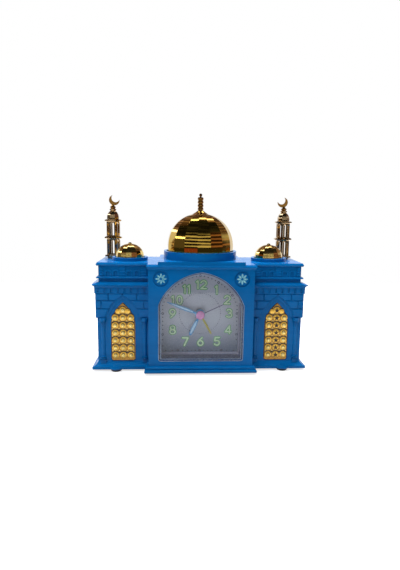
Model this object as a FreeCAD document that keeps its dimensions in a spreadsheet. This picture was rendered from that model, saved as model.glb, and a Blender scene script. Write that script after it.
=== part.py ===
import FreeCAD, Part
import math
import os
import Sketcher

# Mosque-shaped azan alarm clock.  Millimetres.  X to the right, Y to the back, Z up.
# The origin lies on the table under the main dome, so the clock stands on z = 0.
# A "forward" value is a distance towards the viewer, that is along -Y, from the dome axis.

os.makedirs("parts", exist_ok=True)
V = FreeCAD.Vector
doc = FreeCAD.newDocument("azan_clock")
sheet = doc.addObject("Spreadsheet::Sheet", "Sizes")

SIZES = [
    # case walls
    ("wing_half_width", 97.2), ("wing_forward", 23.0), ("rear_depth", 35.0),
    ("wall", 2.3), ("floor_thickness", 2.5), ("foot_height", 2.2), ("roof_thickness", 2.6),
    # wing mouldings: how far each stands out or in from the wall, and its height above the one below
    ("plinth_out", 3.6), ("plinth_face_height", 2.4), ("plinth_slope_height", 3.8),
    ("lower_wall_in", 1.3), ("lower_wall_height", 42.5), ("brick_wall_height", 23.1),
    ("dentil_out", 0.7), ("string_height", 1.0), ("dentil_height", 4.2),
    ("dentil_pitch", 6.1), ("dentil_gap", 1.7),
    ("cornice_out", 2.8), ("cornice_height", 3.4), ("cornice_slope_height", 1.7),
    ("parapet_in", 2.9), ("parapet_foot_height", 3.5), ("bead_in", 1.0), ("bead_height", 1.6),
    ("parapet_height", 10.0), ("lip_height", 1.2), ("lip_in", 0.9), ("lip_slope_height", 1.8),
    # joints of the brick courses beside the arch, measured from the arch's middle and from the top
    ("brick_joint", 0.6), ("brick_joint_depth", 0.45), ("brick_top_course", 6.8), ("brick_course", 7.7),
    ("brick_top_joint", 12.9), ("brick_middle_joint", 19.5),
    # relief on the parapet: pilasters with pairs of blind arches between them
    ("parapet_relief", 0.6), ("pilaster_width", 5.4), ("pilaster_end_width", 3.0), ("pilaster_edge", 5.3),
    ("pilaster_block_gap", 4.9), ("niche_pitch", 7.1), ("niche_half_width", 1.8), ("niche_border", 1.3),
    ("niche_side_height", 3.3), ("niche_depth", 0.5),
    # centre block
    ("block_half_width", 48.1), ("block_projection", 12.3),
    ("block_plinth_out", 3.8), ("block_plinth_height", 6.1), ("block_groove_height", 3.1),
    ("block_cap_height", 4.7), ("block_cap_slope_height", 2.5), ("block_cap_out", 1.8),
    ("plate_half_width", 39.2), ("plate_out", 1.0), ("plate_height", 2.4),
    # window, crystal and dial
    ("window_half_width", 39.4), ("window_sill_height", 4.1), ("window_side_height", 52.4),
    ("window_rise", 30.7), ("window_arch_radius", 47.5), ("window_corner", 2.5),
    ("crystal_inset", 0.4), ("crystal_thickness", 1.6), ("crystal_bevel", 0.9),
    ("crystal_ledge", 1.2), ("crystal_fit", 0.1), ("well_wall", 1.6),
    ("dial_forward", 12.0), ("dial_thickness", 0.8), ("hub_above_sill", 40.3),
    # wing arches between the half columns, and the gold lattices in them
    ("column_radius", 2.2), ("column_side_gap", 6.3), ("column_block_gap", 4.0), ("column_base", 3.6),
    ("arch_side_gap", 9.1), ("arch_block_gap", 8.4), ("arch_spring_drop", 0.5), ("arch_rise", 21.5),
    ("arch_radius", 34.0), ("arch_band", 2.4),
    ("lattice_surround", 5.2), ("lattice_foot_gap", 1.6), ("lattice_spring_drop", 3.8),
    ("lattice_rise", 17.9), ("lattice_arch_radius", 33.0), ("lattice_gap", 0.7), ("lattice_corner", 1.6),
    ("lattice_flange", 1.8), ("lattice_flange_thickness", 1.2),
    ("star_pitch", 7.2), ("star_radius", 2.0), ("star_inner_radius", 0.95), ("star_margin", 1.4),
    ("star_first_height", 4.6), ("star_depth", 0.8), ("eyelet_radius", 0.95),
    # round medallions
    ("medallion_x", 36.6), ("medallion_drop", 8.3), ("medallion_radius", 5.9),
    ("medallion_groove", 1.1), ("medallion_depth", 1.1), ("medallion_petals", 8),
    # main dome, collar and press rod
    ("collar_radius", 34.8), ("collar_wall", 2.6), ("collar_height", 7.3),
    ("dome_base_height", 3.6), ("dome_base_radius", 30.5), ("dome_belly_radius", 30.9),
    ("dome_belly_height", 6.0), ("dome_shoulder_radius", 27.9), ("dome_shoulder_height", 16.0),
    ("dome_neck_radius", 8.1), ("dome_neck_height", 16.2), ("dome_top_radius", 2.9),
    ("dome_top_height", 3.4), ("dome_wall", 1.7), ("dome_gores", 16), ("dome_turn", 3.8),
    ("dome_foot_arc", 62.0), ("dome_belly_arc", 34.8), ("dome_crown_arc", 29.5), ("dome_neck_arc", 30.0),
    ("dome_rod_radius", 4.0), ("running_fit", 0.06), ("guide_wall", 2.0), ("guide_drop", 1.1),
    ("dome_travel", 2.5), ("retainer_radius", 6.0), ("retainer_thickness", 1.2),
    ("spring_radius", 7.6), ("spring_wire", 0.45), ("spring_turns", 3.5), ("spring_seat_height", 12.6),
    ("finial_radius", 2.8), ("finial_bead_height", 3.2), ("finial_tip_radius", 1.6),
    # small domes
    ("small_dome_edge", 29.8), ("small_dome_back", 3.1), ("small_collar_radius", 17.0),
    ("small_collar_height", 3.2), ("small_dome_radius", 13.2), ("small_dome_height", 13.8),
    # minarets
    ("minaret_edge", 11.5), ("minaret_rear_gap", 11.9), ("minaret_radius", 6.3), ("minaret_wall", 1.5),
    ("minaret_slot", 3.0), ("minaret_pillars", 8), ("gallery_radius", 8.1), ("gallery_thickness", 1.7),
    ("minaret_foot_height", 1.2), ("lower_tier_height", 18.2), ("upper_tier_height", 17.2),
    ("minaret_cap_height", 9.6), ("crescent_height", 10.8), ("crescent_radius", 5.1),
    ("crescent_inner_radius", 4.1), ("crescent_shift", 2.5), ("crescent_offset", 1.4), ("crescent_thickness", 1.8),
    ("spigot_radius", 2.5), ("spigot_fit", 0.1),
    # feet, cover, posts and screws
    ("foot_radius", 5.0), ("foot_edge", 18.2), ("foot_front_gap", 0.5), ("foot_rear_gap", 7.0),
    ("foot_boss_radius", 7.2),
    ("cover_thickness", 2.4), ("cover_fit", 0.15), ("post_radius", 3.2), ("post_edge", 7.9),
    ("post_floor_gap", 8.3), ("post_roof_gap", 6.2), ("post_mid_x", 50.0),
    ("screw_radius", 1.25), ("screw_head_radius", 2.6), ("screw_head_height", 1.2),
    ("screw_length", 9.0), ("screw_fit", 0.08),
    # movement and hands
    ("movement_size", 56.0), ("movement_front_thickness", 4.0), ("movement_back_thickness", 12.0),
    ("movement_post_inset", 6.0), ("movement_low_post_x", 14.0),
    ("arbor_radius", 0.9), ("tube_wall", 0.55), ("hub_radius", 4.6), ("hub_height", 1.7),
    ("hub_gap", 0.2), ("blade_thickness", 0.4), ("cap_radius", 4.1), ("cap_height", 2.4),
    ("second_pin_radius", 0.4), ("minute_length", 33.5), ("minute_width", 3.4),
    ("hour_length", 22.6), ("hour_width", 3.0), ("alarm_length", 22.7), ("alarm_width", 1.9),
    ("second_length", 24.0), ("second_width", 0.6),
    ("minute_angle", 291.0), ("hour_angle", 205.5), ("alarm_angle", 151.0), ("second_angle", 65.0),
    # rear controls
    ("knob_radius", 6.5), ("knob_height", 3.6), ("knob_gap", 0.5), ("knob_flutes", 14),
    ("stem_radius", 1.6), ("stem_hole_radius", 2.0), ("alarm_knob_x", 18.0), ("alarm_knob_drop", 17.7),
    ("switch_x", 0.0), ("switch_above_hub", 23.3), ("switch_slot", 9.0), ("switch_slot_height", 3.6),
    ("switch_tab", 4.0), ("switch_stand_out", 1.6), ("switch_fit", 0.2),
    # battery bay
    ("battery_edge", 41.2), ("battery_above_floor", 25.3), ("battery_length", 55.0), ("battery_width", 30.6),
    ("battery_depth", 15.6), ("tray_wall", 1.5), ("door_margin", 2.0), ("door_thickness", 1.4),
    ("door_fit", 0.2), ("contact_thickness", 0.4), ("contact_width", 10.0),
    ("battery_spring_radius", 3.6), ("battery_spring_length", 5.0),
    # speaker
    ("speaker_edge", 37.2), ("speaker_above_floor", 45.3), ("speaker_radius", 20.0), ("speaker_depth", 11.0),
    ("speaker_flange", 2.4), ("magnet_radius", 11.0), ("magnet_height", 6.0), ("grille_slot", 2.0),
    ("grille_pitch", 5.0), ("grille_slots", 6), ("grille_length", 30.0), ("sheet_metal", 0.8),
    # circuit boards
    ("board_edge", 37.2), ("board_above_battery", 42.0), ("board_width", 52.0), ("board_height", 34.0),
    ("board_thickness", 1.6), ("board_standoff", 7.0), ("switch_board_size", 22.0),
    ("tact_size", 6.0), ("tact_height", 3.5), ("tact_button_radius", 1.7),
]

# Levels above the table and places across the front, worked out from the sizes.
PLACES = [
    ("floor_top", "foot_height + floor_thickness"),
    ("plinth_face_top", "foot_height + plinth_face_height"),
    ("plinth_top", "plinth_face_top + plinth_slope_height"),
    ("brick_wall_bottom", "plinth_top + lower_wall_height"),
    ("string_level", "brick_wall_bottom + brick_wall_height"),
    ("brick_upper_bed", "string_level - brick_top_course"),
    ("brick_lower_bed", "brick_upper_bed - brick_course"),
    ("dentil_bottom", "string_level + string_height"),
    ("dentil_top", "dentil_bottom + dentil_height"),
    ("cornice_tip_level", "dentil_top + cornice_height"),
    ("cornice_top", "cornice_tip_level + cornice_slope_height"),
    ("bead_bottom", "cornice_top + parapet_foot_height"),
    ("bead_top", "bead_bottom + bead_height"),
    ("lip_bottom", "bead_top + parapet_height"),
    ("lip_tip_level", "lip_bottom + lip_height"),
    ("roof_top", "lip_tip_level + lip_slope_height"),
    ("niche_spring", "bead_top + niche_side_height"),
    ("pilaster_outer_x", "wing_half_width - pilaster_edge"),
    ("pilaster_inner_x", "block_half_width + pilaster_block_gap"),
    ("pilaster_middle_x", "(pilaster_outer_x + pilaster_inner_x) / 2"),
    ("block_plinth_top", "foot_height + block_plinth_height"),
    ("block_groove_level", "foot_height + block_groove_height"),
    ("block_cap_bottom", "roof_top - block_cap_height"),
    ("block_cap_tip_level", "block_cap_bottom + block_cap_slope_height"),
    ("plate_top", "roof_top + plate_height"),
    ("window_bottom", "block_plinth_top + window_sill_height"),
    ("window_shoulder", "window_bottom + window_side_height"),
    ("window_apex", "window_shoulder + window_rise"),
    ("hub_level", "window_bottom + hub_above_sill"),
    ("medallion_level", "block_cap_bottom - medallion_drop"),
    ("medallion_groove_radius", "medallion_radius + medallion_groove"),
    ("arch_centre", "(wing_half_width - arch_side_gap + block_half_width + arch_block_gap) / 2"),
    ("arch_half_width", "(wing_half_width - arch_side_gap - block_half_width - arch_block_gap) / 2"),
    ("arch_spring", "brick_wall_bottom - arch_spring_drop"),
    ("arch_apex", "arch_spring + arch_rise"),
    ("column_outer_x", "wing_half_width - column_side_gap"),
    ("column_inner_x", "block_half_width + column_block_gap"),
    ("lattice_half_width", "arch_half_width - lattice_surround"),
    ("lattice_bottom", "plinth_top + lattice_foot_gap"),
    ("lattice_spring", "arch_spring - lattice_spring_drop"),
    ("lattice_apex", "lattice_spring + lattice_rise"),
    ("star_first_level", "lattice_bottom + star_first_height"),
    ("collar_top", "plate_top + collar_height"),
    ("guide_top", "collar_top - guide_drop"),
    ("dome_base_level", "plate_top + dome_base_height"),
    ("dome_belly_level", "dome_base_level + dome_belly_height"),
    ("dome_shoulder_level", "dome_belly_level + dome_shoulder_height"),
    ("dome_neck_level", "dome_shoulder_level + dome_neck_height"),
    ("dome_top_level", "dome_neck_level + dome_top_height"),
    ("spring_seat_level", "dome_base_level + spring_seat_height"),
    ("small_dome_x", "wing_half_width - small_dome_edge"),
    ("small_collar_top", "roof_top + small_collar_height"),
    ("small_dome_top", "small_collar_top + small_dome_height"),
    ("minaret_x", "wing_half_width - minaret_edge"),
    ("minaret_back", "rear_depth - minaret_rear_gap"),
    ("gallery_low", "roof_top + minaret_foot_height"),
    ("gallery_middle", "gallery_low + lower_tier_height"),
    ("gallery_high", "gallery_middle + upper_tier_height"),
    ("minaret_cap_top", "gallery_high + minaret_cap_height"),
    ("crescent_level", "minaret_cap_top + crescent_height"),
    ("foot_x", "wing_half_width - foot_edge"),
    ("foot_front", "wing_forward - foot_front_gap"),
    ("foot_back", "rear_depth - foot_rear_gap"),
    ("post_x", "wing_half_width - post_edge"),
    ("post_low", "floor_top + post_floor_gap"),
    ("post_high", "roof_top - roof_thickness - post_roof_gap"),
    ("alarm_knob_level", "hub_level - alarm_knob_drop"),
    ("switch_level", "hub_level + switch_above_hub"),
    ("battery_x", "wing_half_width - battery_edge"),
    ("battery_level", "floor_top + battery_above_floor"),
    ("speaker_x", "wing_half_width - speaker_edge"),
    ("speaker_level", "floor_top + speaker_above_floor"),
    ("board_x", "wing_half_width - board_edge"),
    ("board_level", "battery_level + board_above_battery"),
]


class Size:
    """A length that carries both its number and the spreadsheet formula it comes from."""

    def __init__(self, value, formula):
        self.value = float(value)
        self.formula = formula

    def __add__(self, other):
        other = lift(other)
        return Size(self.value + other.value, "(%s + %s)" % (self.formula, other.formula))

    def __sub__(self, other):
        other = lift(other)
        return Size(self.value - other.value, "(%s - %s)" % (self.formula, other.formula))

    def __mul__(self, other):
        other = lift(other)
        return Size(self.value * other.value, "(%s * %s)" % (self.formula, other.formula))

    def __truediv__(self, other):
        other = lift(other)
        return Size(self.value / other.value, "(%s / %s)" % (self.formula, other.formula))

    def __neg__(self):
        return Size(-self.value, "(0 - %s)" % self.formula)

    __radd__ = __add__

    def __rsub__(self, other):
        return lift(other) - self


def lift(number):
    if isinstance(number, Size):
        return number
    return Size(number, "%.9g" % number)


class Sheet:
    """Gives each named cell as a Size: S.wall, S.roof_top and so on."""


S = Sheet()
rows = [(alias, "%.9g" % number) for alias, number in SIZES]
rows += [(alias, "=" + formula) for alias, formula in PLACES]
for row, (alias, content) in enumerate(rows, start=1):
    sheet.set("A%d" % row, alias)
    sheet.set("B%d" % row, content)
    sheet.setAlias("B%d" % row, alias)
doc.recompute()
for alias, content in rows:
    setattr(S, alias, Size(sheet.get(alias), "Sizes.%s" % alias))

FRONT_VIEW = FreeCAD.Rotation(V(1, 0, 0), V(0, 0, 1), V(0, -1, 0), "XYZ")
SIDE_VIEW = FreeCAD.Rotation(V(0, -1, 0), V(0, 0, 1), V(-1, 0, 0), "XYZ")


def bind(thing, prop, amount):
    thing.setExpression(prop, lift(amount).formula)


def place(thing, x=0, forward=0, z=0):
    bind(thing, "Placement.Base.x", x)
    bind(thing, "Placement.Base.y", -lift(forward))
    bind(thing, "Placement.Base.z", z)
    return thing


def trace(sketch, corners):
    """Closes an outline through (x, y) corners; (x, y, radius, side) starts an arc, side 1 = left."""
    count = len(corners)
    ends = []
    for i in range(count):
        here = corners[i]
        there = corners[(i + 1) % count]
        p = V(lift(here[0]).value, lift(here[1]).value, 0)
        q = V(lift(there[0]).value, lift(there[1]).value, 0)
        if len(here) == 2:
            index = sketch.addGeometry(Part.LineSegment(p, q), False)
        else:
            radius = lift(here[2])
            half = (q - p).Length / 2
            rise = radius.value - math.sqrt(radius.value ** 2 - half ** 2)
            left = V(p.y - q.y, q.x - p.x, 0).normalize()
            middle = (p + q) * 0.5 + left * (rise * here[3])
            index = sketch.addGeometry(Part.Arc(p, middle, q), False)
        if sketch.getPoint(index, 1).distanceToPoint(p) < 1e-6:
            ends.append((index, 1, 2))
        else:
            ends.append((index, 2, 1))
    for i in range(count):
        index, start, stop = ends[i]
        after, after_start, unused = ends[(i + 1) % count]
        sketch.addConstraint(Sketcher.Constraint("Coincident", index, stop, after, after_start))
        x = lift(corners[i][0])
        y = lift(corners[i][1])
        c = sketch.addConstraint(Sketcher.Constraint("DistanceX", -1, 1, index, start, x.value))
        bind(sketch, "Constraints[%d]" % c, x)
        c = sketch.addConstraint(Sketcher.Constraint("DistanceY", -1, 1, index, start, y.value))
        bind(sketch, "Constraints[%d]" % c, y)
        if len(corners[i]) > 2:
            radius = lift(corners[i][2])
            c = sketch.addConstraint(Sketcher.Constraint("Radius", index, radius.value))
            bind(sketch, "Constraints[%d]" % c, radius)
    return sketch


def ring(sketch, radius, x=0, y=0):
    """Adds a circle at (x, y)."""
    radius, x, y = lift(radius), lift(x), lift(y)
    index = sketch.addGeometry(Part.Circle(V(x.value, y.value, 0), V(0, 0, 1), radius.value), False)
    for kind, amount in (("DistanceX", x), ("DistanceY", y)):
        c = sketch.addConstraint(Sketcher.Constraint(kind, -1, 1, index, 3, amount.value))
        bind(sketch, "Constraints[%d]" % c, amount)
    c = sketch.addConstraint(Sketcher.Constraint("Radius", index, radius.value))
    bind(sketch, "Constraints[%d]" % c, radius)
    return sketch


def loose_sketch(name, rotation):
    sketch = doc.addObject("Sketcher::SketchObject", name)
    sketch.Placement = FreeCAD.Placement(V(0, 0, 0), rotation)
    return sketch


def extrude(name, sketch, forward_way, back_way=0):
    """Extrudes a sketch along its own normal, both ways."""
    solid = doc.addObject("Part::Extrusion", name)
    solid.Base = sketch
    solid.DirMode = "Normal"
    solid.Solid = True
    bind(solid, "LengthFwd", forward_way)
    bind(solid, "LengthRev", back_way)
    return solid


def box(name, x0, x1, back, front, z0, z1):
    """A box from x0 to x1, from forward value back to front, and from z0 to z1."""
    solid = doc.addObject("Part::Box", name)
    bind(solid, "Length", lift(x1) - x0)
    bind(solid, "Width", lift(front) - back)
    bind(solid, "Height", lift(z1) - z0)
    return place(solid, x0, front, z0)


def bar_z(name, radius, z0, z1, x=0, forward=0):
    solid = doc.addObject("Part::Cylinder", name)
    bind(solid, "Radius", radius)
    bind(solid, "Height", lift(z1) - z0)
    return place(solid, x, forward, z0)


def bar_y(name, radius, back, front, x=0, z=0):
    """A round bar along Y, from forward value back to front."""
    solid = doc.addObject("Part::Cylinder", name)
    solid.Placement = FreeCAD.Placement(V(0, 0, 0), FreeCAD.Rotation(V(1, 0, 0), 90))
    bind(solid, "Radius", radius)
    bind(solid, "Height", lift(front) - back)
    return place(solid, x, back, z)


def join(name, pieces):
    if len(pieces) == 1:
        return pieces[0]
    solid = doc.addObject("Part::MultiFuse", name)
    solid.Shapes = pieces
    solid.Refine = True
    return solid


def cut(name, base, tools):
    solid = doc.addObject("Part::Cut", name)
    solid.Base = base
    solid.Tool = join(name + "_tools", tools)
    solid.Refine = True
    return solid


def common(name, pieces):
    solid = doc.addObject("Part::MultiCommon", name)
    solid.Shapes = pieces
    solid.Refine = True
    return solid


def turned(name, corners, x=0, forward=0):
    """Revolves a closed half outline of (radius, z) corners about a vertical axis."""
    sketch = trace(loose_sketch(name + "_outline", FRONT_VIEW), corners)
    solid = doc.addObject("Part::Revolution", name)
    solid.Source = sketch
    solid.Axis = V(0, 0, 1)
    solid.Base = V(0, 0, 0)
    solid.Angle = 360
    solid.Solid = True
    return place(solid, x, forward, 0)


def turned_y(name, corners, x=0, z=0):
    """Revolves a closed half outline of (radius, forward) corners about an axis along Y."""
    sketch = trace(loose_sketch(name + "_outline", FreeCAD.Rotation(V(0, 0, 1), 180)
                                * FreeCAD.Rotation(V(0, 1, 0), 180)), corners)
    solid = doc.addObject("Part::Revolution", name)
    solid.Source = sketch
    solid.Axis = V(0, 1, 0)
    solid.Base = V(0, 0, 0)
    solid.Angle = 360
    solid.Solid = True
    return place(solid, x, 0, z)


def body_sketch(body, name, role, offset=0):
    sketch = body.newObject("Sketcher::SketchObject", name)
    plane = [f for f in body.Origin.OriginFeatures if f.Role == role][0]
    sketch.AttachmentSupport = (plane, [""])
    sketch.MapMode = "FlatFace"
    bind(sketch, "AttachmentOffset.Base.z", offset)
    return sketch


def new_body(label):
    body = doc.addObject("PartDesign::Body", label)
    body.Label = label
    return body


def pad(body, name, sketch, length):
    feature = body.newObject("PartDesign::Pad", name)
    feature.Profile = sketch
    bind(feature, "Length", length)
    body.Tip = feature
    return feature


def pocket(body, name, sketch, length, reverse=False):
    feature = body.newObject("PartDesign::Pocket", name)
    feature.Profile = sketch
    feature.Reversed = reverse
    bind(feature, "Length", length)
    body.Tip = feature
    return feature


def arch(half_width, bottom, shoulder, apex, radius, corner=None):
    """A pointed-arch outline: straight sides up to the shoulder, lower corners square or rounded."""
    zero = lift(0)
    if corner is None:
        foot = [(-lift(half_width), bottom), (half_width, bottom)]
    else:
        foot = [(-lift(half_width), bottom + corner, corner, -1), (corner - half_width, bottom),
                (half_width - corner, bottom, corner, -1), (half_width, bottom + corner)]
    return foot + [(half_width, shoulder, radius, -1), (zero, apex, radius, -1),
                   (-lift(half_width), shoulder)]


def arch_prism(name, half_width, bottom, shoulder, apex, radius, back, front, x=0, corner=None):
    sketch = trace(loose_sketch(name + "_outline", FRONT_VIEW),
                   arch(half_width, bottom, shoulder, apex, radius, corner))
    place(sketch, x, back, 0)
    return extrude(name, sketch, lift(front) - back)


NODES = []


def node(label, thing):
    thing.Label = label
    NODES.append(thing)
    return thing


# ---------------------------------------------------------------- case shell

block_forward = S.wing_forward + S.block_projection
far = S.wing_half_width + 40
bottom = S.foot_height
cover_face = -(S.rear_depth - S.cover_thickness)


def wing_outline(wall):
    """Moulded outline of the wings from the bottom up, for a wall face at distance wall."""
    out = S.plinth_out
    return [
        (wall + out, bottom), (wall + out, S.plinth_face_top),
        (wall + out - 1.1, S.plinth_face_top + 0.3, 6.0, 1),
        (wall - S.lower_wall_in + 0.8, S.plinth_top - 0.5), (wall - S.lower_wall_in, S.plinth_top),
        (wall - S.lower_wall_in, S.brick_wall_bottom), (wall, S.brick_wall_bottom),
        (wall, S.string_level), (wall + S.dentil_out, S.string_level),
        (wall + S.dentil_out, S.dentil_top, S.cornice_out * 0.9, 1),
        (wall + S.cornice_out, S.cornice_tip_level - 0.9), (wall + S.cornice_out, S.cornice_tip_level),
        (wall - S.parapet_in + 0.6, S.cornice_top), (wall - S.parapet_in, S.cornice_top),
        (wall - S.parapet_in, S.bead_bottom), (wall - S.bead_in, S.bead_bottom),
        (wall - S.bead_in, S.bead_top - 0.7), (wall - S.bead_in - 0.5, S.bead_top),
        (wall - S.parapet_in, S.bead_top), (wall - S.parapet_in, S.lip_bottom),
        (wall - S.lip_in - 0.6, S.lip_bottom), (wall - S.lip_in, S.lip_tip_level),
        (wall - S.lip_in - 0.9, S.roof_top),
    ]


def block_outline(wall):
    """Moulded outline of the centre block from the bottom up."""
    out = S.block_plinth_out
    groove = S.block_groove_level
    return [
        (wall + out - 0.67, bottom, 1.9, -1), (wall + out - 0.67, groove - 0.2), (wall + out - 1.6, groove),
        (wall + out - 1.6, groove + 0.2, 1.8, -1), (wall + out - 2.0, S.block_plinth_top),
        (wall, S.block_plinth_top), (wall, S.block_cap_bottom),
        (wall + S.block_cap_out - 0.9, S.block_cap_bottom + 1.0),
        (wall + S.block_cap_out, S.block_cap_tip_level - 0.3),
        (wall + S.block_cap_out, S.block_cap_tip_level + 0.3), (wall + 0.5, S.roof_top),
    ]


def mirrored(corners):
    """The same outline run back down the other side; arcs keep their shape."""
    flipped = []
    count = len(corners)
    for i in range(count - 1, -1, -1):
        entry = (-lift(corners[i][0]), corners[i][1])
        if i > 0 and len(corners[i - 1]) > 2:
            entry = entry + (corners[i - 1][2], corners[i - 1][3])
        flipped.append(entry)
    return flipped


def moulded_mass(name, outline, half_width, forward, back):
    """Common of the front and side mouldings, so they meet in mitres at the corners."""
    front = outline(forward)
    front_sketch = trace(loose_sketch(name + "_front_profile", SIDE_VIEW),
                         front + [(-lift(back), S.roof_top), (-lift(back), bottom)])
    across = extrude(name + "_across", front_sketch, far, far)
    side = outline(half_width)
    side_sketch = trace(loose_sketch(name + "_side_profile", FRONT_VIEW), side + mirrored(side))
    along = extrude(name + "_along", side_sketch, far, far)
    return common(name, [across, along])


wings = moulded_mass("wings", wing_outline, S.wing_half_width, S.wing_forward, S.rear_depth)
block = moulded_mass("block", block_outline, S.block_half_width, block_forward, -(S.wing_forward - 6))
plate = box("roof_plate", -S.plate_half_width, S.plate_half_width, -S.plate_half_width,
            block_forward + S.plate_out, S.roof_top - 1.2, S.plate_top)
plate_keep = box("roof_plate_limit", -far, far, -(S.rear_depth - 1.0), far, 0, far)
plate = common("roof_plate_trimmed", [plate, plate_keep])
collar = bar_z("dome_collar", S.collar_radius, S.roof_top - 1.0, S.collar_top)
guide = bar_z("rod_guide", S.dome_rod_radius + S.running_fit + S.guide_wall, S.roof_top - S.roof_thickness,
              S.guide_top)

solids = [wings, block, plate]
for side, word in ((-1, "left"), (1, "right")):
    x = S.small_dome_x * side
    solids.append(bar_z("small_collar_" + word, S.small_collar_radius, S.roof_top - 1.0,
                        S.small_collar_top, x, -S.small_dome_back))
outside = join("case_outside", solids + [collar])

# hollows: lower room, upper room behind the parapet, room inside the block
lower_room = box("lower_room", -(S.wing_half_width - S.lower_wall_in - S.wall),
                 S.wing_half_width - S.lower_wall_in - S.wall, -(S.rear_depth + 5),
                 S.wing_forward - S.lower_wall_in - S.wall, bottom + S.floor_thickness, S.dentil_top)
upper_room = box("upper_room", -(S.wing_half_width - S.parapet_in - S.wall),
                 S.wing_half_width - S.parapet_in - S.wall, -(S.rear_depth + 5),
                 S.wing_forward - S.parapet_in - S.wall, S.dentil_top - 1, S.roof_top - S.roof_thickness)
block_room = box("block_room", -(S.block_half_width - S.wall), S.block_half_width - S.wall, 0,
                 block_forward - S.wall, bottom + S.floor_thickness, S.roof_top - S.roof_thickness)
rooms = join("rooms", [lower_room, upper_room, block_room])

ledge = S.crystal_ledge
crystal_back = block_forward - S.crystal_inset - S.crystal_thickness


def window(name, inward, back, front):
    return arch_prism(name, S.window_half_width - inward, S.window_bottom + inward, S.window_shoulder,
                      S.window_apex - inward, S.window_arch_radius - inward, back, front, 0,
                      S.window_corner - inward)


well = window("dial_well_outside", ledge - S.well_wall, S.dial_forward, crystal_back)
rooms = cut("rooms_round_well", rooms, [well])
openings = [rooms, window("dial_well_inside", ledge, 0, block_forward + 5),
            window("crystal_rebate", lift(0), crystal_back, block_forward + 5)]

# collar hollows
openings.append(bar_z("collar_hollow", S.collar_radius - S.collar_wall, S.plate_top, S.collar_top + 5))
for side, word in ((-1, "left"), (1, "right")):
    x = S.small_dome_x * side
    openings.append(bar_z("small_collar_hollow_" + word, S.small_collar_radius - S.collar_wall,
                          S.roof_top + 0.6, S.small_collar_top + 5, x, -S.small_dome_back))
    openings.append(bar_z("spigot_hole_" + word, S.spigot_radius + S.spigot_fit, S.roof_top - 9,
                          S.roof_top + 5, S.minaret_x * side, -S.minaret_back))
    openings.append(bar_y("medallion_seat_" + word, S.medallion_groove_radius,
                          block_forward - S.medallion_depth, block_forward + 5,
                          S.medallion_x * side, S.medallion_level))

# pointed arches in the brick wall, and the openings for the lattices
lower_face = S.wing_forward - S.lower_wall_in
for side, word in ((-1, "left"), (1, "right")):
    x = S.arch_centre * side
    openings.append(arch_prism("arch_band_" + word, S.arch_half_width, S.brick_wall_bottom - 4, S.arch_spring,
                               S.arch_apex, S.arch_radius, S.wing_forward - S.lower_wall_in * 0.5,
                               S.wing_forward + 0.5, x))
    inner = S.arch_half_width - S.arch_band
    openings.append(arch_prism("arch_recess_" + word, inner, S.brick_wall_bottom - 4, S.arch_spring,
                               S.arch_apex - S.arch_band * 1.3, S.arch_radius - S.arch_band, lower_face,
                               S.wing_forward + 0.5, x))
    openings.append(arch_prism("lattice_opening_" + word, S.lattice_half_width + S.lattice_gap,
                               S.lattice_bottom - S.lattice_gap, S.lattice_spring,
                               S.lattice_apex + S.lattice_gap * 1.3, S.lattice_arch_radius + S.lattice_gap,
                               lower_face - S.wall - 2, S.wing_forward + 1, x,
                               S.lattice_corner + S.lattice_gap))

# brick joints: two beds across each wing, and an upright joint each side of the arch in two courses
joint = S.brick_joint / 2
joint_back = S.wing_forward - S.brick_joint_depth
for side, word in ((-1, "left"), (1, "right")):
    near = S.block_half_width if side > 0 else -(S.wing_half_width + 1)
    for level in (S.brick_upper_bed, S.brick_lower_bed):
        openings.append(box("brick_bed_" + word, near, near + S.wing_half_width + 1 - S.block_half_width,
                            joint_back, S.wing_forward + 1, level - joint, level + joint))
    for offset, low, high in ((S.brick_top_joint, S.brick_upper_bed, S.string_level),
                              (S.brick_middle_joint, S.brick_lower_bed, S.brick_upper_bed)):
        for way in (-1, 1):
            x = S.arch_centre * side + offset * way
            openings.append(box("brick_joint_" + word, x - joint, x + joint, joint_back,
                                S.wing_forward + 0.5, low, high))

# dentils: gaps cut in the band under the cornice, round the front and the two sides
dentil_count = int(S.wing_half_width.value * 2 / S.dentil_pitch.value) // 2
side_count = int((S.rear_depth.value - 4) / S.dentil_pitch.value)
for side in (-1, 1):
    for i in range(dentil_count + 1):
        x = S.dentil_pitch * (i + 0.5) * side
        if abs(x.value) > S.block_half_width.value + 2 and abs(x.value) < S.wing_half_width.value:
            openings.append(box("dentil_gap_front", x - S.dentil_gap / 2, x + S.dentil_gap / 2,
                                S.wing_forward, S.wing_forward + 1, S.dentil_bottom, S.dentil_top))
    for i in range(-3, side_count):
        y = -S.dentil_pitch * (i + 0.5)
        if y.value < S.wing_forward.value - 1:
            low = S.wing_half_width if side > 0 else -(S.wing_half_width + 1)
            openings.append(box("dentil_gap_side", low, low + 1, y - S.dentil_gap / 2, y + S.dentil_gap / 2,
                                S.dentil_bottom, S.dentil_top))

shell = cut("case_hollowed", outside, openings)

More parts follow.
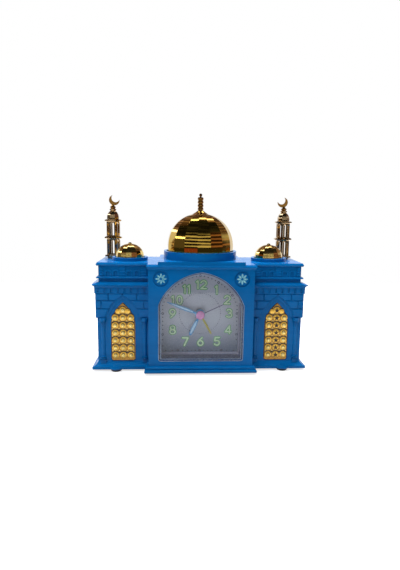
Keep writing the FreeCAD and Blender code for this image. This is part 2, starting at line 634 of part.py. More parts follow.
# fittings added to the shell: rod guide, screw posts, half columns, foot bosses, parapet relief
fittings = [guide]
niches = []
parapet_face = S.wing_forward - S.parapet_in
post_back = cover_face
for side, word in ((-1, "left"), (1, "right")):
    for x, z, forward in ((S.post_x, S.post_low, lower_face - 1), (S.post_x, S.post_high, lower_face - 3),
                          (S.post_mid_x, S.post_high, lower_face - 3)):
        fittings.append(bar_y("screw_post", S.post_radius, post_back, forward, x * side, z))
    for x in (S.column_outer_x * side, S.column_inner_x * side):
        fittings.append(bar_z("column", S.column_radius, S.plinth_top - 1, S.brick_wall_bottom + 0.5,
                              x, lower_face - S.column_radius * 0.4))
        fittings.append(box("column_base", x - S.column_radius - 0.4, x + S.column_radius + 0.4,
                            lower_face - 1, lower_face + S.column_radius * 0.6 + 0.3,
                            S.plinth_top - 1, S.plinth_top - 1 + S.column_base))
    boss = S.foot_boss_radius
    fittings.append(turned("foot_boss", [(0, bottom), (boss - 0.8, bottom), (boss, bottom + 0.7),
                                         (boss, bottom + 1.3), (boss - 2.2, S.plinth_face_top),
                                         (0, S.plinth_face_top)], S.foot_x * side, S.foot_front))
    for x, width in ((S.pilaster_outer_x, S.pilaster_end_width), (S.pilaster_middle_x, S.pilaster_width),
                     (S.pilaster_inner_x, S.pilaster_width)):
        fittings.append(box("pilaster", x * side - width / 2, x * side + width / 2, parapet_face - 0.5,
                            parapet_face + S.parapet_relief, S.bead_top - 0.3, S.lip_bottom + 0.2))
    for first, second in ((S.pilaster_outer_x, S.pilaster_middle_x), (S.pilaster_middle_x, S.pilaster_inner_x)):
        for half_pitch in (-S.niche_pitch / 2, S.niche_pitch / 2):
            x = (first + second) / 2 * side + half_pitch
            half = S.niche_half_width
            reach = half + S.niche_border
            fittings.append(arch_prism("niche_border", reach, S.bead_top - 0.3, S.niche_spring,
                                       S.niche_spring + reach, reach, parapet_face - 0.5,
                                       parapet_face + S.parapet_relief, x))
            niches.append(arch_prism("niche", half, S.bead_top + 0.2, S.niche_spring, S.niche_spring + half,
                                     half, parapet_face - S.niche_depth, S.wing_forward, x))
shell = join("case_with_fittings", [shell] + fittings)
holes = niches + [bar_z("rod_bore", S.dome_rod_radius + S.running_fit, S.roof_top - 10, S.guide_top + 5)]
for side in (-1, 1):
    for x, z in ((S.post_x, S.post_low), (S.post_x, S.post_high), (S.post_mid_x, S.post_high)):
        holes.append(bar_y("pilot_hole", S.screw_radius + S.screw_fit, post_back - 1,
                           post_back + S.screw_length - S.cover_thickness + 1, x * side, z))
case_shell = node("case_shell", cut("case_shell_solid", shell, holes))

# ---------------------------------------------------------------- crystal and dial

crystal = new_body("crystal")
fit = S.crystal_fit
sketch = trace(body_sketch(crystal, "crystal_outline", "XZ_Plane", crystal_back),
               arch(S.window_half_width - fit, S.window_bottom + fit, S.window_shoulder,
                    S.window_apex - fit, S.window_arch_radius - fit, S.window_corner - fit))
pane = pad(crystal, "crystal_pane", sketch, S.crystal_thickness)
doc.recompute()
crystal_front = -(crystal_back + S.crystal_thickness).value
rim = ["Edge%d" % n for n, edge in enumerate(pane.Shape.Edges, start=1)
       if abs(edge.BoundBox.YMin - crystal_front) < 1e-4 and abs(edge.BoundBox.YMax - crystal_front) < 1e-4]
bevel = crystal.newObject("PartDesign::Chamfer", "crystal_rim_bevel")
bevel.Base = (pane, rim)
bind(bevel, "Size", S.crystal_bevel)
crystal.Tip = bevel
node("crystal", crystal)

dial = new_body("dial")
dial_in = ledge - S.well_wall + fit
dial_back = S.dial_forward - S.dial_thickness
sketch = body_sketch(dial, "dial_outline", "XZ_Plane", dial_back)
trace(sketch, arch(S.window_half_width - dial_in, S.window_bottom + dial_in, S.window_shoulder,
                   S.window_apex - dial_in, S.window_arch_radius - dial_in, S.window_corner - dial_in))
tube_outer = S.arbor_radius + S.running_fit * 2 + S.tube_wall * 2
ring(sketch, tube_outer + 0.5, 0, S.hub_level)
pad(dial, "dial_plate", sketch, S.dial_thickness)
node("dial", dial)

# ---------------------------------------------------------------- gold lattices


def lattice(label, side):
    """Gold arched panel with rows of star-shaped sockets and round eyelets, held by a rear flange."""
    body = new_body(label)
    face_back = lower_face - S.wall
    sketch = trace(body_sketch(body, label + "_flange_outline", "XZ_Plane",
                               face_back - S.lattice_flange_thickness),
                   arch(S.lattice_half_width + S.lattice_flange, S.lattice_bottom - S.lattice_flange,
                        S.lattice_spring, S.lattice_apex + S.lattice_flange * 1.3,
                        S.lattice_arch_radius + S.lattice_flange))
    pad(body, label + "_flange", sketch, S.lattice_flange_thickness)
    sketch = trace(body_sketch(body, label + "_panel_outline", "XZ_Plane",
                               face_back - S.lattice_flange_thickness * 0.5),
                   arch(S.lattice_half_width, S.lattice_bottom, S.lattice_spring, S.lattice_apex,
                        S.lattice_arch_radius, S.lattice_corner))
    depth = S.lattice_flange_thickness * 0.5 + S.wall + S.star_depth - 0.2
    pad(body, label + "_panel", sketch, depth)
    top = face_back + S.wall + S.star_depth - 0.2
    reach = (S.lattice_half_width - S.star_radius - S.star_margin).value / S.star_pitch.value
    side_columns = int(reach + 1e-6)
    tall = int((S.lattice_apex - S.star_first_level - S.star_radius * 2).value / S.star_pitch.value) + 1
    for column in range(-side_columns, side_columns + 1):
        rows = tall - abs(column)
        star = body_sketch(body, "%s_star_%d" % (label, column + 2), "XZ_Plane", top)
        corners = []
        for k in range(10):
            angle = math.pi / 2 + k * math.pi / 5
            reach = S.star_radius if k % 2 == 0 else S.star_inner_radius
            corners.append((S.star_pitch * column + reach * math.cos(angle),
                            S.star_first_level + reach * math.sin(angle)))
        trace(star, corners)
        repeat(body, label + "_stars_%d" % (column + 2), star, rows)
    for column in (-1, 1) if side_columns else ():
        eyelet = body_sketch(body, "%s_eyelet_%d" % (label, column + 1), "XZ_Plane", top)
        x = S.star_pitch * (0.5 * column)
        corners = []
        for k in range(6):
            angle = k * math.pi / 3
            corners.append((x + S.eyelet_radius * math.cos(angle),
                            S.star_first_level + S.star_pitch / 2 + S.eyelet_radius * math.sin(angle)))
        trace(eyelet, corners)
        repeat(body, label + "_eyelets_%d" % (column + 1), eyelet, tall - 1)
    bind(body, "Placement.Base.x", S.arch_centre * side)
    return node(label, body)


def repeat(body, name, sketch, rows):
    """Pockets a sketch and repeats it upwards at the star pitch."""
    first = pocket(body, name + "_pocket", sketch, S.star_depth)
    pattern = body.newObject("PartDesign::LinearPattern", name)
    pattern.Originals = [first]
    axis = [f for f in body.Origin.OriginFeatures if f.Role == "Z_Axis"][0]
    pattern.Direction = (axis, [""])
    bind(pattern, "Length", S.star_pitch * (rows - 1))
    pattern.Occurrences = rows
    body.Tip = pattern
    return pattern


lattice("lattice_left", -1)
lattice("lattice_right", 1)


# ---------------------------------------------------------------- medallions


def medallion(label, side):
    """Round insert with a raised rosette of petals."""
    body = new_body(label)
    seat = block_forward - S.medallion_depth
    disc = ring(body_sketch(body, label + "_rim", "XZ_Plane", seat), S.medallion_radius)
    pad(body, label + "_disc", disc, S.medallion_depth * 0.7)
    petal = body_sketch(body, label + "_petal_outline", "XZ_Plane", seat)
    reach = S.medallion_radius
    trace(petal, [(0, reach * 0.15, reach * 0.5, -1), (0, reach * 0.85, reach * 0.5, -1)])
    first = pad(body, label + "_petal", petal, S.medallion_depth)
    pattern = body.newObject("PartDesign::PolarPattern", label + "_rosette")
    pattern.Originals = [first]
    axis = [f for f in body.Origin.OriginFeatures if f.Role == "Y_Axis"][0]
    pattern.Axis = (axis, [""])
    pattern.Angle = 360
    pattern.Occurrences = int(S.medallion_petals.value)
    body.Tip = pattern
    bind(body, "Placement.Base.x", S.medallion_x * side)
    bind(body, "Placement.Base.z", S.medallion_level)
    return node(label, body)


medallion("medallion_left", -1)
medallion("medallion_right", 1)

# ---------------------------------------------------------------- domes


def gored(name, corners, gores, x=0, forward=0, start=0.0):
    """Dome with flat-across gores: the common part of one outline extruded in each direction."""
    prisms = []
    half = int(gores / 2)
    for i in range(half):
        turn = FreeCAD.Rotation(V(0, 0, 1), start + 180.0 * i / half)
        sketch = loose_sketch("%s_gore_%d" % (name, i), turn * FRONT_VIEW)
        trace(sketch, corners + mirrored(corners))
        place(sketch, x, forward, 0)
        prisms.append(extrude("%s_prism_%d" % (name, i), sketch, S.dome_belly_radius + 10,
                              S.dome_belly_radius + 10))
    return common(name, prisms)


dome_outline = [
    (S.dome_base_radius, S.dome_base_level, S.dome_foot_arc, -1),
    (S.dome_belly_radius, S.dome_belly_level, S.dome_belly_arc, -1),
    (S.dome_shoulder_radius, S.dome_shoulder_level, S.dome_crown_arc, -1),
    (S.dome_neck_radius, S.dome_neck_level, S.dome_neck_arc, 1),
    (S.dome_top_radius, S.dome_top_level),
]
dome_outside = gored("dome_outside", dome_outline, S.dome_gores.value, start=S.dome_turn.value)
wall = S.dome_wall
dome_inside = gored("dome_inside", [
    (S.dome_base_radius - wall, S.dome_base_level - 1), (S.dome_belly_radius - wall, S.dome_belly_level),
    (S.dome_shoulder_radius - wall, S.dome_shoulder_level - wall * 0.5, S.dome_crown_arc, -1),
    (S.dome_neck_radius - wall, S.dome_neck_level - wall)], S.dome_gores.value, start=S.dome_turn.value)
dome_shell = cut("dome_hollowed", dome_outside, [dome_inside])
stop_level = S.roof_top - S.roof_thickness
rod = bar_z("dome_rod", S.dome_rod_radius, stop_level, S.dome_neck_level)
rib = turned("dome_rib", [
    (S.dome_rod_radius - 1, S.spring_seat_level), (S.spring_radius + 2, S.spring_seat_level),
    (S.spring_radius + 2, S.spring_seat_level + 1.5), (S.dome_rod_radius - 1, S.spring_seat_level + 6)])
reach = S.dome_belly_radius - wall - 0.2
webs = [box("dome_web_along", -0.8, 0.8, -reach, reach, S.spring_seat_level, S.spring_seat_level + 3),
        box("dome_web_across", -reach, reach, -0.8, 0.8, S.spring_seat_level, S.spring_seat_level + 3)]
dome_solid = join("dome_joined", [dome_shell, rod, rib] + webs)
stud_hole = bar_z("finial_hole", 0.9, S.dome_top_level - 5, S.dome_top_level + 1)
screw_hole = bar_z("retainer_hole", S.screw_radius, stop_level - 1, stop_level + 8)
main_dome = node("main_dome", cut("main_dome_solid", dome_solid, [stud_hole, screw_hole]))

bead = S.finial_bead_height
fr = S.finial_radius
z = S.dome_top_level
profile = [(0, z - 4.5), (0.9, z - 4.5), (0.9, z), (fr - 0.3, z)]
for i in range(4):
    foot = z + bead * i
    profile += [(fr - 0.5, foot + 0.2), (fr, foot + bead * 0.3), (fr, foot + bead * 0.66),
                (fr - 0.5, foot + bead - 0.3)]
top = z + bead * 4
tip = S.finial_tip_radius
tip_level = top + 0.4 + tip * math.sqrt(0.75)
profile.append((tip * 0.5, top + 0.1))
for angle in (-60, -25, 15, 50):
    profile.append((tip * math.cos(math.radians(angle)), tip_level + tip * math.sin(math.radians(angle))))
profile.append((0, tip_level + tip))
node("dome_finial", turned("dome_finial_solid", profile))

retainer_top = stop_level - 0.3
node("dome_retainer", turned("dome_retainer_solid", [
    (0, retainer_top - S.retainer_thickness), (S.retainer_radius, retainer_top - S.retainer_thickness),
    (S.retainer_radius, retainer_top), (S.dome_rod_radius - 0.5, retainer_top),
    (S.dome_rod_radius - 0.5, stop_level), (S.screw_radius, stop_level),
    (S.screw_radius, stop_level + 7), (0, stop_level + 7)]))

coil_height = S.spring_seat_level - S.plate_top - S.spring_wire * 2
spring = doc.addObject("Part::Feature", "dome_spring_coil")
wire_radius = S.spring_wire.value
helix = Part.makeHelix(coil_height.value / S.spring_turns.value, coil_height.value, S.spring_radius.value)
section = Part.makePolygon([V(S.spring_radius.value + wire_radius * math.cos(a), 0, wire_radius * math.sin(a))
                            for a in [k * math.pi / 3 for k in range(7)]])
spring.Shape = Part.Wire(helix).makePipeShell([section], True, True)
spring.Placement = FreeCAD.Placement(V(0, 0, S.plate_top.value + wire_radius), FreeCAD.Rotation())
node("dome_spring", spring)


def small_dome(label, side):
    """Fixed gored dome with a small tip, seated in its collar."""
    r = S.small_dome_radius
    low = S.roof_top + 0.6
    top = S.small_dome_top
    x = S.small_dome_x * side
    outline = [(r - 0.2, low), (r, S.small_collar_top, 12.0, -1), (r * 0.66, top - 4.2, 14.0, -1),
               (lift(1.9), top - 1.4), (lift(1.1), top - 0.2), (lift(0.4), top)]
    outside = gored(label + "_outside", outline, S.dome_gores.value, x, -S.small_dome_back)
    inside = gored(label + "_inside", [(r - S.dome_wall, low - 1), (r - S.dome_wall, S.small_collar_top),
                                       (r * 0.56, top - 5.8), (lift(1.0), top - 3.6)],
                   S.dome_gores.value, x, -S.small_dome_back)
    return node(label, cut(label + "_solid", outside, [inside]))


small_dome("small_dome_left", -1)
small_dome("small_dome_right", 1)


# ---------------------------------------------------------------- minarets


def minaret(label, side):
    """Tower with as many flat sides as pillars: galleries, two tiers with arched gaps, cap, crescent."""
    x = S.minaret_x * side
    back = -S.minaret_back
    r = S.minaret_radius
    g = S.gallery_radius
    t = S.gallery_thickness
    cap = S.minaret_cap_top
    stem_top = S.crescent_level - S.crescent_radius + 1.2
    outline = [(r - 0.6, S.roof_top), (r - 0.6, S.gallery_low), (g, S.gallery_low + 0.3),
               (g, S.gallery_low + t), (r, S.gallery_low + t + 0.4), (r, S.gallery_middle - 0.6),
               (g + 0.2, S.gallery_middle + 0.2), (g + 0.2, S.gallery_middle + t - 0.3),
               (r, S.gallery_middle + t + 0.6), (r, S.gallery_high - 0.6), (g - 0.2, S.gallery_high),
               (g - 0.2, S.gallery_high + t * 0.7), (r - 0.7, S.gallery_high + t + 0.2),
               (r - 0.7, S.gallery_high + t + 0.4, 8.5, -1), (lift(3.0), cap), (lift(2.4), cap + 0.4),
               (lift(3.2), cap + 1.1), (lift(3.2), cap + 1.9), (lift(2.2), cap + 2.7), (lift(2.0), cap + 3.0),
               (lift(2.7), cap + 3.6), (lift(2.7), cap + 4.3), (lift(1.5), cap + 5.2), (lift(0.9), stem_top)]
    sides = S.minaret_pillars.value
    tower = gored(label + "_tower", outline, sides, x, back)
    spigot = bar_z(label + "_spigot", S.spigot_radius, S.roof_top - 4, S.roof_top + 1, x, back)
    cuts = []
    tiers = ((S.gallery_low + t + 0.4, S.gallery_middle - 0.6), (S.gallery_middle + t + 0.6, S.gallery_high - 0.6))
    for low, high in tiers:
        cuts.append(gored(label + "_bore", [(r - S.minaret_wall, low), (r - S.minaret_wall, high)],
                          sides, x, back))
        for i in range(int(sides / 2)):
            turn = FreeCAD.Rotation(V(0, 0, 1), 360.0 * i / sides)
            slot = loose_sketch(label + "_slot_outline", turn * FRONT_VIEW)
            half = S.minaret_slot / 2
            trace(slot, [(-half, low + 0.6), (half, low + 0.6), (half, high - 2.2), (half * 0.7, high - 1.2),
                         (0, high - 0.5), (-(half * 0.7), high - 1.2), (-half, high - 2.2)])
            place(slot, x, back, 0)
            cuts.append(extrude(label + "_slot", slot, r + 2, r + 2))
    tower = cut(label + "_pillars", tower, cuts)
    tilt = 90 - math.degrees(math.atan2(0.843, 0.539))
    way = V(-side * math.sin(math.radians(tilt)), 0, math.cos(math.radians(tilt)))
    half = S.crescent_thickness / 2
    centre = x - S.crescent_offset * side
    disc = bar_y(label + "_crescent_disc", S.crescent_radius, back - half, back + half, centre, S.crescent_level)
    bite = bar_y(label + "_crescent_bite", S.crescent_inner_radius, back - half - 1, back + half + 1,
                 centre + S.crescent_shift * way.x, S.crescent_level + S.crescent_shift * way.z)
    crescent = cut(label + "_crescent", disc, [bite])
    return node(label, join(label + "_solid", [tower, spigot, crescent]))


minaret("minaret_left", -1)
minaret("minaret_right", 1)

# ---------------------------------------------------------------- feet

pads = []
for side in (-1, 1):
    for forward in (S.foot_front, -S.foot_back):
        pads.append(turned("foot", [(0, 0), (S.foot_radius - 0.5, 0), (S.foot_radius, 0.5),
                                    (S.foot_radius, S.foot_height), (0, S.foot_height)],
                           S.foot_x * side, forward))
feet = doc.addObject("Part::Compound", "feet_group")
feet.Links = pads
node("rubber_feet", feet)

# ---------------------------------------------------------------- movement and hands

mf = dial_back
mm = mf - S.movement_front_thickness
mb = mm - S.movement_back_thickness
half = S.movement_size / 2
hour_outer = S.arbor_radius + S.running_fit + S.tube_wall
hour_bore = hour_outer + S.running_fit
alarm_outer = hour_bore + S.tube_wall
low = S.hub_level - half
high = S.hub_level + half
front_block = box("movement_front_block", -half, half, mm, mf, low, high)
back_block = box("movement_back_block", -(half - 0.6), half - 0.6, mb, mm, low + 0.6, high - 0.6)
front_bores = [bar_y("alarm_tube_bore", alarm_outer + S.running_fit, mm, mf + 1, 0, S.hub_level)]
node("movement_front", cut("movement_front_solid", front_block, front_bores))
back_bores = [bar_y("hour_tube_bore", hour_outer + S.running_fit, mm - 4, mm + 1, 0, S.hub_level),
              bar_y("arbor_bore", S.arbor_radius + S.running_fit, mb - 1, mm, 0, S.hub_level),
              bar_y("alarm_stem_bore", S.stem_radius + S.running_fit, mb - 1, mb + 4,
                    -S.alarm_knob_x, S.alarm_knob_level)]
node("movement_back", cut("movement_back_solid", back_block, back_bores))

alarm_back = S.dial_forward + 0.5
hour_back = alarm_back + S.hub_height + S.hub_gap
minute_back = hour_back + S.hub_height + S.hub_gap
second_back = minute_back + S.hub_height + S.hub_gap


def lance(half_width, length):
    """Hand blade that widens from the hub and runs to a point."""
    start = S.hub_radius - 1.0
    w = lift(half_width)
    return [(-(w * 0.4), start), (-w, start + (length - start) * 0.35), (-(w * 0.75), start + (length - start) * 0.72),
            (0, length), (w * 0.75, start + (length - start) * 0.72), (w, start + (length - start) * 0.35),
            (w * 0.4, start)]


def hand(label, back, half_width, length, angle, bore, tube_radius=None, tube_end=None):
    """Hub disc with its blade and, where it has one, the tube it turns on."""
    body = new_body(label)
    disc = body_sketch(body, label + "_hub_outline", "XZ_Plane", back)
    ring(disc, S.hub_radius)
    ring(disc, bore)
    pad(body, label + "_hub", disc, S.hub_height)
    blade = trace(body_sketch(body, label + "_blade_outline", "XZ_Plane", back + S.hub_height * 0.35),
                  lance(half_width, length))
    pad(body, label + "_blade", blade, S.blade_thickness)
    if tube_radius is not None:
        tube = body_sketch(body, label + "_tube_outline", "XZ_Plane", tube_end)
        ring(tube, tube_radius)
        ring(tube, bore)
        pad(body, label + "_tube", tube, back - tube_end)
    body.Placement = FreeCAD.Placement(V(0, 0, 0), FreeCAD.Rotation(V(0, 1, 0), 0))
    bind(body, "Placement.Base.z", S.hub_level)
    body.Placement.Rotation = FreeCAD.Rotation(V(0, 1, 0), angle.value)
    return node(label, body)


hand("alarm_hand", alarm_back, S.alarm_width / 2, S.alarm_length, S.alarm_angle, hour_bore,
     alarm_outer, mm + 0.2)
hand("hour_hand", hour_back, S.hour_width / 2, S.hour_length, S.hour_angle,
     S.arbor_radius + S.running_fit, hour_outer, mm - 3.8)
hand("minute_hand", minute_back, S.minute_width / 2, S.minute_length, S.minute_angle, S.arbor_radius)

stem_front = mb - 0.4
arbor = bar_y("arbor_bar", S.arbor_radius, mb - 5, minute_back + S.hub_height, 0, S.hub_level)
arbor_hole = bar_y("arbor_hole", S.second_pin_radius + S.running_fit, minute_back - 4.2,
                   minute_back + S.hub_height + 1, 0, S.hub_level)
node("centre_arbor", cut("centre_arbor_solid", arbor, [arbor_hole]))

second = new_body("second_hand")
blade = body_sketch(second, "second_blade_outline", "XZ_Plane", second_back)
w = S.second_width / 2
trace(blade, [(-w, -(S.hub_radius + 1)), (w, -(S.hub_radius + 1)), (w, S.second_length), (-w, S.second_length)])
pad(second, "second_blade", blade, S.blade_thickness)
pin = ring(body_sketch(second, "second_pin_outline", "XZ_Plane", minute_back - 4), S.second_pin_radius)
pad(second, "second_pin", pin, second_back - minute_back + 4.1)
bind(second, "Placement.Base.z", S.hub_level)
second.Placement.Rotation = FreeCAD.Rotation(V(0, 1, 0), S.second_angle.value)
node("second_hand", second)

cap_back = second_back + S.blade_thickness
node("hand_cap", turned_y("hand_cap_solid", [
    (0, cap_back), (S.cap_radius, cap_back), (S.cap_radius, cap_back + S.cap_height - 0.7),
    (S.cap_radius - 0.2, cap_back + S.cap_height - 0.2), (S.cap_radius - 0.7, cap_back + S.cap_height),
    (0, cap_back + S.cap_height)], 0, S.hub_level))

# ---------------------------------------------------------------- rear controls

rear_face = -S.rear_depth


def knob(label, x, z, stem_end, socket):
    """Fluted knob with a long stem that reaches into the movement."""
    body = new_body(label)
    far_end = rear_face - S.knob_gap - S.knob_height
    grip = ring(body_sketch(body, label + "_grip_outline", "XZ_Plane", far_end), S.knob_radius)
    pad(body, label + "_grip", grip, S.knob_height)
    flute = ring(body_sketch(body, label + "_flute_outline", "XZ_Plane", far_end), 0.8, 0, S.knob_radius + 0.25)
    first = pocket(body, label + "_flute", flute, S.knob_height, True)
    pattern = body.newObject("PartDesign::PolarPattern", label + "_flutes")
    pattern.Originals = [first]
    axis = [f for f in body.Origin.OriginFeatures if f.Role == "Y_Axis"][0]
    pattern.Axis = (axis, [""])
    pattern.Angle = 360
    pattern.Occurrences = int(S.knob_flutes.value)
    body.Tip = pattern
    stem = body_sketch(body, label + "_stem_outline", "XZ_Plane", far_end + S.knob_height)
    ring(stem, S.stem_radius)
    pad(body, label + "_stem", stem, stem_end - far_end - S.knob_height)
    if socket:
        hole = ring(body_sketch(body, label + "_socket_outline", "XZ_Plane", stem_end), S.arbor_radius)
        pocket(body, label + "_socket", hole, 5)
    bind(body, "Placement.Base.x", x)
    bind(body, "Placement.Base.z", z)
    return node(label, body)


knob("time_set_knob", lift(0), S.hub_level, stem_front, True)
knob("alarm_set_knob", -S.alarm_knob_x, S.alarm_knob_level, mb + 3.7, False)

slot_half = S.switch_slot / 2
slot_rise = S.switch_slot_height / 2
gap = S.switch_fit
slider_x = S.switch_x - slot_half + gap
slider = join("slider_joined", [
    box("slider_tab", slider_x, slider_x + S.switch_tab, cover_face - S.cover_thickness - S.switch_stand_out,
        cover_face + 0.4, S.switch_level - slot_rise + gap, S.switch_level + slot_rise - gap),
    box("slider_foot", slider_x - 0.9, slider_x + S.switch_tab + 0.9, cover_face + 0.2, cover_face + 1.4,
        S.switch_level - slot_rise - 1.2, S.switch_level + slot_rise + 1.2)])
node("alarm_switch_slider", slider)
switch_case = cut("switch_case_hollowed",
                  box("switch_case_block", S.switch_x - 9, S.switch_x + 9, cover_face, cover_face + 5,
                      S.switch_level - slot_rise - 2.6, S.switch_level + slot_rise + 2.6),
                  [box("switch_case_room", S.switch_x - slot_half - 1.1, S.switch_x + slot_half + 1.1,
                       cover_face - 1, cover_face + 1.6, S.switch_level - slot_rise - 1.4,
                       S.switch_level + slot_rise + 1.4)])
node("alarm_switch_case", switch_case)

# ---------------------------------------------------------------- battery bay

bx = S.battery_x
bz = S.battery_level
bl = S.battery_length / 2
bw = S.battery_width / 2
tw = S.tray_wall
tray_front = cover_face + S.battery_depth
tray = cut("tray_hollowed",
           box("tray_block", bx - bl - tw, bx + bl + tw, cover_face, tray_front + tw, bz - bw - tw, bz + bw + tw),
           [box("tray_room", bx - bl, bx + bl, cover_face - 1, tray_front, bz - bw, bz + bw)])
ridge = box("tray_ridge", bx - bl + 8, bx + bl - 8, tray_front - 3, tray_front + 0.5, bz - 0.6, bz + 0.6)
node("battery_tray", join("battery_tray_solid", [tray, ridge]))

ct = S.contact_thickness
contacts = []
for end in (-1, 1):
    for level in (-1, 1):
        z = bz + bw * 0.5 * level
        face = bx + bl * end
        low_x = face if end < 0 else face - ct
        contacts.append(box("contact_plate", low_x, low_x + ct, tray_front - 12, tray_front - 2,
                            z - S.contact_width / 2, z + S.contact_width / 2))
springs = []
for end, level in ((-1, 1), (1, -1)):
    z = bz + bw * 0.5 * level
    face = bx + (bl - ct) * end
    cone = doc.addObject("Part::Cone", "contact_spring")
    cone.Placement = FreeCAD.Placement(V(0, 0, 0), FreeCAD.Rotation(V(0, 1, 0), -90 * end))
    bind(cone, "Radius1", S.battery_spring_radius)
    bind(cone, "Radius2", S.battery_spring_radius * 0.6)
    bind(cone, "Height", S.battery_spring_length)
    place(cone, face, tray_front - 7, z)
    springs.append(cone)
contact_set = join("contacts_joined", contacts + springs)
node("battery_contacts", contact_set)

margin = S.door_margin
door_face = -S.rear_depth
door = box("door_panel", bx - bl - margin + S.door_fit, bx + bl + margin - S.door_fit, door_face,
           door_face + S.door_thickness, bz - bw - margin + S.door_fit, bz + bw + margin - S.door_fit)
grips = []
for i in range(4):
    x = bx + (i - 1.5) * 2.4
    grips.append(box("door_grip", x - 0.5, x + 0.5, door_face - 0.5, door_face + 0.2, bz - 6, bz + 6))
node("battery_door", join("battery_door_solid", [door] + grips))

# ---------------------------------------------------------------- speaker

sx = -S.speaker_x
sz = S.speaker_level
sr = S.speaker_radius
sd = S.speaker_depth
m = S.sheet_metal
basket = [(sr - S.speaker_flange, cover_face), (sr, cover_face), (sr, cover_face + 1.2),
          (sr - S.speaker_flange + m, cover_face + 1.2), (S.magnet_radius - 2, cover_face + sd),
          (lift(3.0), cover_face + sd), (lift(3.0), cover_face + sd - m), (S.magnet_radius - 2.6, cover_face + sd - m),
          (sr - S.speaker_flange, cover_face + 0.9)]
node("speaker_basket", turned_y("speaker_basket_solid", basket, sx, sz))
inner = sr - S.speaker_flange
cone = [(0, cover_face + 5.2), (lift(3.8), cover_face + 6.4), (inner - 2.6, cover_face + 1.6), (inner, cover_face + 0.9),
        (inner, cover_face + 0.5), (inner - 2.4, cover_face + 1.1), (lift(3.8), cover_face + 5.9),
        (0, cover_face + 4.6)]
node("speaker_cone", turned_y("speaker_cone_solid", cone, sx, sz))
node("speaker_magnet", bar_y("speaker_magnet_solid", S.magnet_radius, cover_face + sd,
                             cover_face + sd + S.magnet_height, sx, sz))

# ---------------------------------------------------------------- boards

bdx = S.board_x
bdz = S.board_level
board_back = cover_face + S.board_standoff
node("sound_board", box("sound_board_plate", bdx - S.board_width / 2, bdx + S.board_width / 2, board_back,
                        board_back + S.board_thickness, bdz - S.board_height / 2, bdz + S.board_height / 2))
chips = [box("sound_chip", bdx - 8, bdx + 8, board_back + S.board_thickness, board_back + S.board_thickness + 2.4,
             bdz - 5, bdz + 5)]
for i in range(3):
    chips.append(bar_y("capacitor", lift(2.5), board_back + S.board_thickness,
                       board_back + S.board_thickness + 7, bdx - 18 + i * 6.5, bdz + 10))
chip_group = doc.addObject("Part::Compound", "chip_group")
chip_group.Links = chips
node("board_components", chip_group)

sb = S.switch_board_size / 2
tact_top = retainer_top - S.retainer_thickness - 0.3
board_top = tact_top - S.tact_height - 1.4 - S.dome_travel
board_low = board_top - S.board_thickness
bracket = []
for side in (-1, 1):
    x = (sb - 2) * side
    bracket.append(bar_z("hanger", lift(1.8), board_top, S.roof_top - S.roof_thickness, x, 0))
switch_plate = box("switch_board_plate", -sb, sb, -sb * 0.6, sb * 0.6, board_low, board_top)
node("switch_board", switch_plate)
hangers = doc.addObject("Part::Compound", "hanger_group")
hangers.Links = bracket
node("switch_hangers", hangers)
ts = S.tact_size / 2
node("tact_switch", join("tact_switch_solid", [
    box("tact_body", -ts, ts, -ts, ts, board_top, board_top + S.tact_height),
    bar_z("tact_button", S.tact_button_radius, board_top + S.tact_height - 0.2, tact_top - S.dome_travel)]))

# ---------------------------------------------------------------- rear cover and screws

cf = S.cover_fit
room_half = S.wing_half_width - S.lower_wall_in - S.wall - cf
upper_half = S.wing_half_width - S.parapet_in - S.wall - cf
cover_low = bottom + S.floor_thickness + cf
cover_high = S.roof_top - S.roof_thickness - cf
step = S.dentil_top - cf
outline = loose_sketch("cover_outline", FRONT_VIEW)
trace(outline, [(-room_half, cover_low), (room_half, cover_low), (room_half, step), (upper_half, step),
                (upper_half, cover_high), (-upper_half, cover_high), (-upper_half, step), (-room_half, step)])
place(outline, 0, rear_face, 0)
cover = extrude("cover_plate", outline, S.cover_thickness)
cover_adds = []
for x in (-1, 1):
    for z in (-1, 1):
        post = half - S.movement_post_inset if z > 0 else S.movement_low_post_x
        cover_adds.append(bar_y("movement_post", lift(2.6), cover_face - 0.3, mb, post * x,
                                S.hub_level + (half - S.movement_post_inset) * z))
        cover_adds.append(bar_y("board_post", lift(1.8), cover_face - 0.3, board_back,
                                bdx + (S.board_width / 2 - 3) * x, bdz + (S.board_height / 2 - 3) * z))
cover = join("cover_with_posts", [cover] + cover_adds)
outer = rear_face - 1
cover_cuts = [
    bar_y("time_stem_hole", S.stem_hole_radius, outer, cover_face + 1, 0, S.hub_level),
    bar_y("alarm_stem_hole", S.stem_hole_radius, outer, cover_face + 1, -S.alarm_knob_x, S.alarm_knob_level),
    box("switch_slot_hole", S.switch_x - slot_half, S.switch_x + slot_half, outer, cover_face + 1,
        S.switch_level - slot_rise, S.switch_level + slot_rise),
    box("door_rebate", bx - bl - margin, bx + bl + margin, outer, rear_face + S.door_thickness,
        bz - bw - margin, bz + bw + margin),
    box("battery_opening", bx - bl, bx + bl, outer, cover_face + 1, bz - bw, bz + bw)]
slots = int(S.grille_slots.value)
for i in range(slots):
    offset = i - (slots - 1) / 2.0
    z = sz + S.grille_pitch * offset
    reach = S.grille_length / 2 * math.sqrt(max(0.2, 1 - (2.0 * offset / (slots + 1)) ** 2))
    cover_cuts.append(box("grille_slot_cut", sx - reach, sx + reach, outer, cover_face + 1,
                          z - S.grille_slot / 2, z + S.grille_slot / 2))
screws = []
